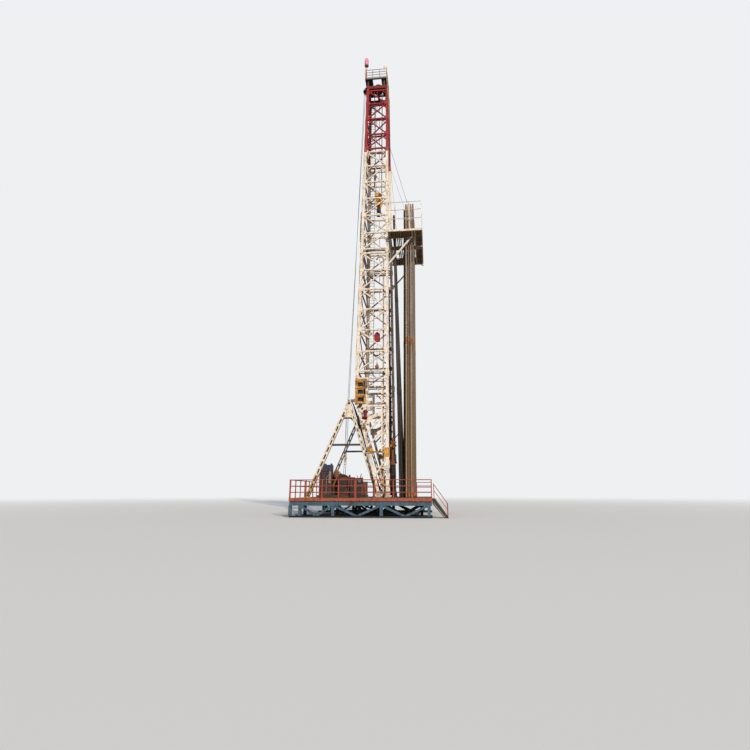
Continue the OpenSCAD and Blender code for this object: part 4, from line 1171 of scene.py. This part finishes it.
mesh = bmesh.new()
tilted_plate(mesh, (-0.356, -1.84, 4.067), 0.3, 0.16, 0.022, 57, 0.1, 0.06)
make("tilted_link", mesh, dial_white, bevel=0.005)
mesh = bmesh.new()
tilted_plate(mesh, (-0.24, -1.90, 3.5), 0.36, 0.22, 0.02, -12)
tilted_plate(mesh, (-0.10, -1.895, 3.56), 0.2, 0.16, 0.024, 28)
make("foot_gussets", mesh, cream, bevel=0.005)
mesh = bmesh.new()
tilted_plate(mesh, (-0.43, -1.80, 4.14), 0.26, 0.24, 0.02, 57)
make("link_shade_sheet", mesh, black_paint, bevel=0.005)

mesh = bmesh.new()
for x, y, z in ((-0.36, -1.93, 3.54), (-0.28, -1.93, 3.45), (-0.19, -1.93, 3.56), (-0.12, -1.93, 3.43),
                (-0.36, -1.895, 4.07)):
    rod(mesh, (x, y, z), Y, 0.03, 0.03, 10)
make("link_pins", mesh, black_paint, smooth=True)

# %% [markdown]
# On the foot's gusset sits a small red air winch, with its hook and shackle under it. The
# winch is one turned drum with two flanges between a base and a head plate.

# %% Air winch
mesh = bmesh.new()
winch_drum = [(0.06, 0.0), (0.105, 0.02), (0.105, 0.05), (0.07, 0.07), (0.07, 0.23),
              (0.105, 0.25), (0.105, 0.28), (0.05, 0.31)]
turned(mesh, (-0.255, -1.86, 3.68), (0.12, 0, 1), winch_drum, 20)
bar(mesh, (-0.36, -1.83, 3.67), (-0.15, -1.83, 3.67), 0.16, 0.03)
bar(mesh, (-0.33, -1.80, 3.97), (-0.17, -1.80, 3.99), 0.1, 0.05)
make("air_winch", mesh, shaded_red, bevel=0.006)

mesh = bmesh.new()
tube(mesh, [(-0.3, -1.86, 3.68), (-0.3, -1.86, 3.36)], 0.01, 6)
turned(mesh, (-0.3, -1.86, 3.22), Z, chamfered(0.05, 0.14, 0.02, 0.02), 14)
bar(mesh, (-0.21, -1.88, 3.3), (-0.16, -1.88, 3.2), 0.05, 0.07)
shackle = arc((-0.25, -1.87, 3.2), (0.05, 0, 0), (0, 0, 0.06), 0, 2 * math.pi, 12)[:-1]
tube(mesh, shackle, 0.012, 6, closed=True)
make("winch_hook", mesh, column_yellow, smooth=True)

# %% [markdown]
# The windows of the yellow column look dark because it is hollow, with a locking block behind
# each. A black sheet inside, which is painted shade, and two small black blocks for each window
# give that depth.

# %% Insides of the near column
column_x, column_z, window_pitch = rear_x(5.29) - 0.06, 4.25, 0.31
column_y = -half_y(4.77)


def column_bar(mesh, x, y, low, high, wide, deep):
    x, y = column_x + x, column_y + y
    bar(mesh, (x, y, column_z + low), (x, y, column_z + high), wide, deep)


mesh = bmesh.new()
column_bar(mesh, 0.215, 0.09, 0.06, 0.98, 0.39, 0.05)
for k in range(3):
    z = 0.215 + k * window_pitch
    column_bar(mesh, 0.14, 0.04, z - 0.07, z + 0.07, 0.04, 0.04)
    column_bar(mesh, 0.24, 0.03, z - 0.05, z + 0.03, 0.07, 0.04)
make("column_shade_insides", mesh, black_paint)

# %% [markdown]
# Outside, the column has four straps with bolts between its windows. Down its front edge runs a
# black bar that paints the shade of the gap beside it, and below that a short dark ram for the locking
# blocks.

# %% Straps and ram of the near column
strap_off = -0.07
strap_y = column_y + strap_off
mesh = bmesh.new()
for k in range(4):
    z = column_z + 0.05 + k * window_pitch
    bar(mesh, (column_x - 0.005, strap_y, z), (column_x + 0.42, strap_y, z), 0.02, 0.035)
column_bar(mesh, 0.36, strap_off, 0.06, 0.5, 0.05, 0.02)
for z in (0.1, 0.55, 0.95):
    for x in (0.02, 0.40):
        rod(mesh, (column_x + x, strap_y - 0.012, column_z + z), Y, 0.02, 0.03)
make("column_straps", mesh, cream_stained, bevel=0.003)
mesh = bmesh.new()
# a black bar down the front edge: painted shade of the gap beside it
column_bar(mesh, 0.385, strap_off, 0.42, 1.0, 0.07, 0.03)
ram_x, ram_z = column_x + 0.34, column_z + 0.10
bar(mesh, (ram_x, strap_y, ram_z), (ram_x + 0.02, strap_y, ram_z + 0.26), 0.04, 0.03)
make("column_shade_bar_and_ram", mesh, black_paint, smooth=True)

# %% [markdown]
# Where the yellow ties meet the chords there are cast brackets with round bosses. A boss is a
# turned disc with a chamfer on both sides.

# %% Foot brackets
mesh = bmesh.new()
for s in (-1, 1):
    for x, z, r in ((0.6, 2.36, 0.11), (0.02, 2.44, 0.075)):
        y = s * (half_y(z) + 0.065)
        turned(mesh, (x, y - 0.03, z), Y, chamfered(r, 0.06, r * 0.6), 20)
    bar(mesh, (0.58, s * (half_y(2.2) + 0.07), 2.3), (0.5, s * (half_y(2.0) + 0.07), 2.02), 0.03, 0.08)
make("foot_brackets", mesh, yellow, bevel=0.004)

# %% [markdown]
# Thin braces run down from the brackets to the hinge, and short level bars fill the narrow
# panel of the foot, where the mast carries most.

# %% Foot braces
def inner(s, x, z):
    return (x, s * (half_y(z) - 0.09), z)


thin = 0.026
mesh = bmesh.new()
for s in (-1, 1):
    bar(mesh, inner(s, 0.57, 2.15), inner(s, 0.37, 1.6), 0.045, 0.05)
    bar(mesh, inner(s, 0.35, 1.6), inner(s, 0.5, 0.95), 0.04, 0.04)
    for z in (1.15, 1.45, 1.8, 2.1, 2.75, 3.1, 3.5, 3.9):
        bar(mesh, inner(s, 0.33 + 0.05 * (4 - z) / 3, z), inner(s, 0.6, z), thin, thin)
    for low, high in ((2.75, 3.3), (3.3, 3.9), (1.1, 1.7)):
        bar(mesh, inner(s, 0.35, low), inner(s, 0.6, high), thin, thin)
        bar(mesh, inner(s, 0.1, low + 0.2), inner(s, 0.35, low + 0.6), thin, thin)
make("foot_braces", mesh, cream_stained)

# %% [markdown]
# In the mast hangs a red counterweight that balances the tongs, so that they can be pushed by
# hand. It is stacked plates with two pins, and its line runs on to a shackle and a pulley.

# %% Counterweight
weight_x, weight_y = 0.19, -(half_y(7.2) - 0.25)
mesh = bmesh.new()
for low, high, wide, deep in ((7.03, 7.36, 0.25, 0.1), (7.36, 7.41, 0.19, 0.08), (7.41, 7.46, 0.11, 0.06)):
    bar(mesh, (weight_x, weight_y, low), (weight_x, weight_y, high), wide, deep)
for x in (-0.1, 0.1):
    rod(mesh, (weight_x + x, weight_y - 0.07, 7.16), Y, 0.03, 0.14, 10)
make("counterweight", mesh, red, bevel=0.015)
mesh = bmesh.new()
tube(mesh, [(weight_x, weight_y, 7.44), (weight_x, -half_y(7.5) + 0.06, 7.5)], 0.007, 6)
tube(mesh, [(weight_x, weight_y, 7.05), (weight_x - 0.01, weight_y, 6.0)], 0.007, 6)
make("counterweight_line", mesh, rope_steel, smooth=True)

# %% [markdown]
# The shackle is a bent round bar closed by a pin, and the pulley two flanged discs side by
# side, turned as one.

# %% Shackle and pulley
mesh = bmesh.new()
bow = arc((weight_x - 0.02, weight_y, 6.52), (0.15, 0, 0), (0, 0, 0.11), 0.75 * math.pi, 2 * math.pi, 14)
tube(mesh, bow, 0.03, 8)
bar(mesh, (weight_x - 0.15, weight_y, 6.62), (weight_x + 0.15, weight_y, 6.62), 0.05, 0.05)
make("counterweight_shackle", mesh, brown_paint, smooth=True)
mesh = bmesh.new()
pulley = [(0.05, 0.0), (0.085, 0.01), (0.085, 0.03), (0.06, 0.035), (0.06, 0.045), (0.085, 0.05),
          (0.085, 0.07), (0.05, 0.08)]
turned(mesh, (weight_x - 0.01, weight_y - 0.04, 5.93), Y, pulley, 18)
bar(mesh, (weight_x - 0.01, weight_y, 6.0), (weight_x - 0.01, weight_y, 6.1), 0.05, 0.03)
make("counterweight_pulley", mesh, column_yellow)

# %% [markdown]
# Tongs are the big wrenches that screw pipe together. They hang from the mast on two lines:
# a yellow jaw of three stout plates and a red arm. At this size the jaw reads by its colour
# and its broken outline, so three bars at different angles are enough.

# %% Tongs
tong, hang_y, hang_z = Vector((0.80, -0.86, 2.74)), -0.93, 4.60
mesh = bmesh.new()
bar(mesh, tong + Vector((-0.12, 0, -0.1)), tong + Vector((0.1, 0, 0.12)), 0.1, 0.12)
bar(mesh, tong + Vector((0.0, 0, -0.13)), tong + Vector((0.13, -0.02, -0.03)), 0.08, 0.08)
bar(mesh, tong + Vector((-0.05, -0.05, -0.04)), tong + Vector((0.04, -0.05, 0.06)), 0.14, 0.03)
make("tong_jaw", mesh, column_yellow, bevel=0.01)
mesh = bmesh.new()
bar(mesh, tong + Vector((-0.04, 0, 0.1)), (1.02, tong.y, 3.16), 0.03, 0.04)
bar(mesh, (0.93, -0.70, 2.0), (0.62, -0.70, 2.14), 0.06, 0.09)
make("tong_arm", mesh, shaded_red, bevel=0.006)
mesh = bmesh.new()
tube(mesh, [(0.80, tong.y, 2.86), (0.79, hang_y, hang_z)], 0.008, 6)
tube(mesh, [(0.90, tong.y, 2.98), (0.85, hang_y, hang_z)], 0.012, 6)
bar(mesh, (front_x + 0.05, -half_y(4.66) + 0.02, 4.66), (0.83, -0.90, 4.62), 0.05, 0.05)
make("tong_lines", mesh, crown_pale)

# %% [markdown]
# The swivel lets the pipe turn while mud is pumped through it. It is a casting with a bail
# above and the kelly below. Turned rings and a circle of bolts make the plain solid read as
# a casting, and the bail is a tube along half a circle.

# %% Swivel details
swivel_x, swivel_y = 0.765, -0.70
mesh = bmesh.new()
for z, r, h in ((1.945, 0.128, 0.02), (2.02, 0.128, 0.02), (2.2, 0.062, 0.05), (2.45, 0.062, 0.05)):
    turned(mesh, (swivel_x, swivel_y, z), Z, chamfered(r, h, r - 0.01, 0.006), 24)
for x, y, z in arc((swivel_x, swivel_y, 2.047), (0.1, 0, 0), (0, 0.1, 0), 0, 2 * math.pi, 8)[:-1]:
    rod(mesh, (x, y, z), Z, 0.012, 0.012)
make("swivel_rings", mesh, worn_brown)
mesh = bmesh.new()
tube(mesh, arc((swivel_x, swivel_y, 2.62), (0, 0.1, 0), (0, 0, 0.36), 0, math.pi, 14), 0.022, 8)
make("swivel_bail", mesh, column_yellow, smooth=True)
mesh = bmesh.new()
for z, r, h in ((1.0, 0.085, 0.3), (1.42, 0.075, 0.2)):
    turned(mesh, (swivel_x, swivel_y, z), Z, chamfered(r, h, r - 0.02, 0.02))
make("kelly_collars", mesh, greased_collar, smooth=True)

# %% [markdown]
# A small hoist hook hangs from the cross beam of the A-frames on a thin line. The hook itself
# is a tube along part of a circle, under two short plates that stand for its block.

# %% Small hoist
hoist_x, hoist_y, beam_z, hook_top = -1.13, -1.2, 3.87, 2.34
mesh = bmesh.new()
bar(mesh, (-0.96, hoist_y, beam_z), (hoist_x - 0.02, hoist_y, beam_z), 0.05, 0.06)
tube(mesh, [(hoist_x, hoist_y, beam_z - 0.02), (hoist_x, hoist_y, hook_top)], 0.006, 6)
make("hoist_line", mesh, rope_steel)
mesh = bmesh.new()
bar(mesh, (hoist_x - 0.02, hoist_y, hook_top), (hoist_x + 0.05, hoist_y, 2.16), 0.05, 0.1)
bar(mesh, (hoist_x + 0.03, hoist_y, 2.18), (hoist_x - 0.03, hoist_y, 2.02), 0.04, 0.07)
bend = arc((hoist_x, hoist_y, 1.98), (0.05, 0, 0), (0, 0, 0.05), 0.5 * math.pi, -0.9 * math.pi, 10)
tube(mesh, bend, 0.014, 8)
make("hoist_hook", mesh, cream_stained, bevel=0.006)

# %% [markdown]
# The drawworks is an engine-driven winch. What shows of it behind the rail is the end of its
# housing. Its louvres let the heat out: a row of thin slats between two bolted strips. Slats
# laid one by one catch the light on their edges, which a pattern in the paint would not do.

# %% Louvres of the housing
slats, slat_pitch, bolts, bolt_pitch = 10, 0.09, 7, 0.15
face_y = -1.25  # the near wall of the housing
slat_y, strip_y = face_y - 0.006, face_y - 0.008
mesh = bmesh.new()
for k in range(slats):
    z = 0.86 + slat_pitch * k
    bar(mesh, (-2.1, slat_y, z), (-1.72, slat_y, z + 0.012), 0.012, 0.05)
for x in (-2.13, -1.68):
    bar(mesh, (x, strip_y, 0.8), (x, strip_y, 1.86), 0.03, 0.012)
bar(mesh, (-2.14, slat_y, 1.75), (-1.66, slat_y, 1.75), 0.014, 0.03)
for x in (-2.1, -1.69):
    for k in range(bolts):
        rod(mesh, (x, face_y - 0.012, 0.85 + bolt_pitch * k), Y, 0.012, 0.014)
make("housing_louvres", mesh, brown_paint, bevel=0.003)

# %% [markdown]
# The top of the housing is navy, with a filler cap and a short exhaust, both turned. A bright
# strip with a pipe beside it and a rusted shield over the drive finish this end.

# %% Top of the housing
cover_x = -1.905
cover_y, hatch_y, plate_y, pipe_y = [face_y - off for off in (0.012, 0.016, 0.018, 0.03)]
mesh = bmesh.new()
bar(mesh, (cover_x, cover_y, 1.66), (cover_x, cover_y, 1.9), 0.5, 0.014)
bar(mesh, (cover_x, -1.10, 1.903), (cover_x, -1.10, 1.92), 0.5, 0.3)
turned(mesh, (-1.70, -1.12, 1.91), Z, [(0.03, 0.0), (0.045, 0.01), (0.045, 0.05), (0.02, 0.07)])
turned(mesh, (-1.95, -1.18, 1.93), Y, chamfered(0.045, 0.17, 0.03))
bar(mesh, (-1.99, hatch_y, 1.3), (-1.99, hatch_y, 1.58), 0.16, 0.014)
make("housing_top", mesh, navy, bevel=0.004)
mesh = bmesh.new()
bar(mesh, (-1.74, plate_y, 1.2), (-1.72, plate_y, 1.66), 0.08, 0.012)
tube(mesh, [(x, pipe_y, z) for x, z in ((-1.86, 0.78), (-1.86, 1.42), (-1.80, 1.5), (-1.70, 1.5))], 0.014, 8)
make("housing_strip", mesh, bare_edge, bevel=0.003)
shield = [(0.1, 0.0), (0.11, 0.02), (0.11, 0.2), (0.07, 0.27), (0.03, 0.29)]
mesh = bmesh.new()
turned(mesh, (-1.49, -1.12, 1.44), Z, shield, 20)
bar(mesh, (-1.60, -1.2, 1.1), (-1.45, -1.2, 1.44), 0.06, 0.05)
make("drive_shield", mesh, worn_brown, bevel=0.004)

# %% [markdown]
# The drum is held by a steel band round each flange. One long lever pulls both tight, through
# a cross shaft and two rods. The bands are short bars along an arc, like the guard at the
# crown.

# %% Brake linkage
shaft_x, shaft_z, band_r = -1.0, 0.8, 0.345
mesh = bmesh.new()
for s in (-1, 1):
    y = s * 0.668
    band = arc((drum_x, y, drum_z), (band_r, 0, 0), (0, 0, band_r), math.radians(-50), math.radians(230), 20)
    for p, q in zip(band, band[1:]):
        bar(mesh, p, q, 0.05, 0.012)
    bar(mesh, (drum_x + 0.24, y, drum_z - 0.27), (shaft_x, y, shaft_z), 0.03, 0.04)
bar(mesh, (shaft_x, -0.72, shaft_z), (shaft_x, 0.72, shaft_z), 0.05, 0.05)
bar(mesh, (-0.98, -1.35, 0.78), (-0.9, -1.35, 1.52), 0.03, 0.03)
bar(mesh, (shaft_x, -0.7, shaft_z), (shaft_x, -1.34, shaft_z), 0.045, 0.045)
make("brake_linkage", mesh, brown_paint)

# %% [markdown]
# The control console is a brown cabinet with four dark openings beside a black box with
# three. Behind the rail the openings are all that tells it from a crate, so each gets a black
# sheet, a hair in front of the wall, which paints the shade inside it, and a brown frame round it.

# %% Cabinet openings and frames
cabinet_y, box_y = -1.24, -1.43  # the near walls of the cabinet and the box


def opening(mesh, y, x0, x1, z0, z1, thick):
    x = (x0 + x1) / 2
    bar(mesh, (x, y, z0), (x, y, z1), x1 - x0, thick)


mesh = bmesh.new()
for x0, x1 in ((-1.33, -1.08), (-1.04, -0.79)):
    for z0, z1 in ((0.8, 1.05), (1.1, 1.36)):
        opening(mesh, cabinet_y - 0.006, x0, x1, z0, z1, 0.014)
opening(mesh, box_y - 0.006, -0.93, -0.84, 1.14, 1.36, 0.01)
opening(mesh, box_y - 0.006, -0.80, -0.69, 1.14, 1.36, 0.01)
opening(mesh, box_y - 0.006, -0.86, -0.72, 0.72, 1.06, 0.01)
make("cabinet_opening_shade", mesh, black_paint)


def lattice(mesh, y, xs, zs, x_ends, z_ends, thick, wide, deep):
    for x in xs:
        bar(mesh, (x, y, z_ends[0]), (x, y, z_ends[1]), wide, thick)
    for z in zs:
        bar(mesh, (x_ends[0], y, z), (x_ends[1], y, z), thick, deep)


mesh = bmesh.new()
lattice(mesh, box_y - 0.008, (-0.945, -0.82, -0.675), (1.115, 1.25, 1.392), (-0.95, -0.67), (1.1, 1.4),
        0.016, 0.026, 0.024)
lattice(mesh, cabinet_y - 0.01, (-1.38, -1.06, -0.75), (0.78, 1.07, 1.42), (-1.38, -0.75), (0.76, 1.43),
        0.016, 0.03, 0.03)
bar(mesh, (-0.645, -1.45, 0.67), (-0.645, -1.45, 1.4), 0.06, 0.04)
make("cabinet_frames", mesh, brown_paint)

# %% [markdown]
# On the black box is a round gauge that weighs the pipe on the hook, with levers behind it.
# The case and the dials are turned. Ten short ticks and a needle are real bars, because the
# dial is bare otherwise.

# %% Gauge and levers
gauge_x, gauge_z, dial_y, tick_y = -0.5, 1.29, -1.474, -1.476
ticks, first_tick, tick_step = 10, -40, 28.5
mesh = bmesh.new()
turned(mesh, (gauge_x, -1.47, gauge_z), Y, [(0.075, 0.0), (0.085, 0.01), (0.085, 0.04)], 28)
tube(mesh, [(-0.46, -1.44, 1.4), (-0.45, -1.46, 1.48), (-0.42, -1.46, 1.56)], 0.014, 8)
tube(mesh, [(-0.57, -1.44, 1.4), (-0.60, -1.45, 1.50)], 0.01, 8)
tube(mesh, [(-0.40, -1.44, 1.4), (-0.40, -1.44, 1.46)], 0.01, 8)
make("gauge_case_and_levers", mesh, black_paint)
mesh = bmesh.new()
rod(mesh, (gauge_x, dial_y, gauge_z), Y, 0.064, 0.006, 28)
for x in (-0.44, -0.52):
    rod(mesh, (x, -1.438, 1.14), Y, 0.024, 0.01, 16)
make("gauge_dials", mesh, gauge_face)
mesh = bmesh.new()
bar(mesh, (gauge_x, -1.477, 1.285), (-0.47, -1.477, 1.33), 0.004, 0.006)
for k in range(ticks):
    t = math.radians(first_tick + tick_step * k)
    tick = [(gauge_x + r * math.cos(t), tick_y, gauge_z + r * math.sin(t)) for r in (0.05, 0.06)]
    bar(mesh, *tick, 0.003, 0.004)
make("gauge_needle", mesh, black_paint)

# %% [markdown]
# Hoses arch over the top of the cabinet, between two turned caps.

# %% Hoses of the drawworks
mesh = bmesh.new()
for x, z in ((-1.5, 1.7), (-1.42, 1.62), (-1.2, 1.55)):
    arch = [(x, -1.1, 1.43), (x + 0.02, -1.12, z), (x + 0.16, -1.14, z - 0.06), (x + 0.2, -1.15, 1.43)]
    tube(mesh, arch, 0.016, 8)
turned(mesh, (-1.2, -1.1, 1.43), Z, [(0.06, 0.0), (0.06, 0.1), (0.04, 0.12)])
turned(mesh, (-0.95, -1.1, 1.43), Z, [(0.04, 0.0), (0.04, 0.08), (0.02, 0.1)])
make("drawworks_hoses", mesh, rubber_hose, smooth=True)

# %% [markdown]
# Wear keeps some edges of the stair bright: the tops of its stringers and the noses of its
# treads. Thin strips of bare steel on the dark solid show them.

# %% Stair edges
stair_x, stair_run, stair_rise, steps = 2.34, 0.44, 0.625, 5
nose_off, proud = 0.108, 0.002
mesh = bmesh.new()
for y in (-2.875, -2.455):
    bar(mesh, (2.42, y, 0.664), (2.872, y, 0.024), 0.012, 0.03)
bar(mesh, (2.365, -2.925, 0.50), (2.742, -2.925, 0.035), 0.03, 0.008)
for k in range(steps):
    x, z = stair_x + stair_run * k / steps + nose_off, stair_rise * (1 - k / steps) + proud
    bar(mesh, (x, -2.85, z), (x, -2.48, z), 0.014, 0.02, Z)
make("stair_edges", mesh, bare_edge)

# %% [markdown]
# Bolts hold the railing posts down and the gussets of the A-frames together. They are small
# hexagons, and only their number makes them show, so they are placed by loops.

# %% Bolts
mesh = bmesh.new()
for s in (-1, 1):
    for z in (4.28, 4.05, 3.92, 3.80):
        for x in (-0.05, 0.05):
            rod(mesh, (apex_x + x * (4.7 - z) / 0.4, s * (frame_y + 0.07), z), (0, s, 0), 0.016, 0.012)
posts, first_post, post_pitch, rail_y = 9, -2.86, 0.61, 2.9
for k in range(posts):
    for dx in (-0.035, 0.035):
        for s in (-1, 1):
            x = min(max(first_post + post_pitch * k + dx, -2.85), 2.3)  # not past the floor's ends
            rod(mesh, (x, s * rail_y, floor_z), Z, 0.012, 0.01)
make("frame_bolts", mesh, grey_brown)

# %% [markdown]
# The pin at each frame's top is a plain round bar with a collar, dark with grease. Below it a
# black plate along the gusset's lower edge paints the shade under that edge, and an eight-sided nut holds the
# link to the mast.

# %% Pins at the apex
collar = [(0.03, 0.0), (0.048, 0.01), (0.048, 0.03), (0.036, 0.038)]
pin = [(0.028, 0.0), (0.028, 0.15), (0.02, 0.152)]
mesh = bmesh.new()
for s in (-1, 1):
    turned(mesh, (-0.905, s * 1.805, 4.31), (0, s, 0), collar, 18)
    turned(mesh, (apex_x, s * 1.665, eye_z), (0, s, 0), pin)
    # a black plate along the lower edge of each gusset: painted shade under it
    bar(mesh, (-1.10, s * 1.7406, 3.715), (-0.77, s * 1.7406, 3.715), 0.045, 0.1)
    rod(mesh, (-1.115, s * 1.77, 3.79), (0, s, 0), 0.045, 0.045, 8)
make("apex_pins_and_shade_plates", mesh, black_paint, smooth=True)

# %% [markdown]
# # The floor around the rig
# A plain pale floor carries the rig's shadow. The camera should see it almost white, but a
# white floor would light the undersides far more than bare ground does. So it has two
# tones: pale for the camera, and the brown of ground for the light that it sends back.

# %% Studio floor
backdrop_tone = hex_colour("#eef0f2")
floor_half = 400


def stage_finish():
    material, tree = new_tree("studio floor")
    seen = add(tree, "ShaderNodeLightPath").outputs["Is Camera Ray"]
    # the brown of ground for the light it sends back, a pale floor for the camera
    tone = add(tree, "ShaderNodeMix", {FIRST: hex_colour("#9c8d79"), SECOND: hex_colour("#f6f5f3")},
               {FACTOR: seen}, data_type="RGBA")
    shader = add(tree, "ShaderNodeBsdfDiffuse", links={"Color": tone.outputs[MIXED]})
    # far from the rig the floor turns into the backdrop, so that no edge shows between them
    place = add(tree, "ShaderNodeNewGeometry").outputs["Position"]
    far = add(tree, "ShaderNodeVectorMath", links={0: place}, operation="LENGTH")
    blend = add(tree, "ShaderNodeMapRange", span(6.0, 70.0, 0.0, 1.0), {"Value": far.outputs["Value"]},
                interpolation_type="SMOOTHSTEP")
    only_seen = add(tree, "ShaderNodeMath", links={0: blend.outputs[0], 1: seen}, operation="MULTIPLY")
    backdrop = add(tree, "ShaderNodeEmission", {"Color": backdrop_tone})
    whole = add(tree, "ShaderNodeMixShader",
                links={0: only_seen.outputs[0], 1: shader.outputs[0], 2: backdrop.outputs[0]})
    add(tree, "ShaderNodeOutputMaterial", links={0: whole.outputs[0]})
    return material


data = bpy.data.meshes.new("studio_floor")
corners = [(-floor_half, -floor_half, 0), (floor_half, -floor_half, 0), (floor_half, floor_half, 0),
           (-floor_half, floor_half, 0)]
data.from_pydata(corners, [], [(0, 1, 2, 3)])
data.materials.append(stage_finish())
studio_floor = bpy.data.objects.new("studio_floor", data)
scene.collection.objects.link(studio_floor)
print("the floor reaches", floor_half, "m each way")

# %% [markdown]
# The world does the same trick. The camera, and metal that mirrors it, see a pale backdrop,
# while the light on the rig is a weak blue sky.

# %% World
world = bpy.data.worlds.new("studio")
scene.world = world
world.use_nodes = True
tree = world.node_tree
tree.nodes.clear()
ray = add(tree, "ShaderNodeLightPath")
sky = add(tree, "ShaderNodeBackground", {"Color": hex_colour("#cfdcec"), "Strength": 0.45})
pale = add(tree, "ShaderNodeBackground", {"Color": backdrop_tone, "Strength": 1.0})
shown = add(tree, "ShaderNodeMath",
            links={0: ray.outputs["Is Camera Ray"], 1: ray.outputs["Is Glossy Ray"]}, operation="MAXIMUM")
seen_by = add(tree, "ShaderNodeMath",
              links={0: shown.outputs[0], 1: ray.outputs["Is Transmission Ray"]}, operation="MAXIMUM")
mixed = add(tree, "ShaderNodeMixShader", links={0: seen_by.outputs[0], 1: sky.outputs[0], 2: pale.outputs[0]})
add(tree, "ShaderNodeOutputWorld", links={0: mixed.outputs[0]})
print("world nodes:", len(tree.nodes))

# %% [markdown]
# The photograph has a low afternoon sun behind the camera, to its right. The sun here comes
# from the same side, a little higher, and is only slightly warm. Its disc is widened to two
# degrees, so that thin shadows stay soft at their edges.

# %% Sun
sun_strength, sun_disc, sun_tilt, sun_turn = 2.9, 2, 67, 28
sun_data = bpy.data.lights.new("sun", "SUN")
sun_data.energy = sun_strength
sun_data.angle = math.radians(sun_disc)
sun_data.color = hex_colour("#fff1de")[:3]
sun = bpy.data.objects.new("sun", sun_data)
sun.rotation_euler = (math.radians(sun_tilt), 0, math.radians(sun_turn))
scene.collection.objects.link(sun)
scene.view_settings.view_transform = "Standard"
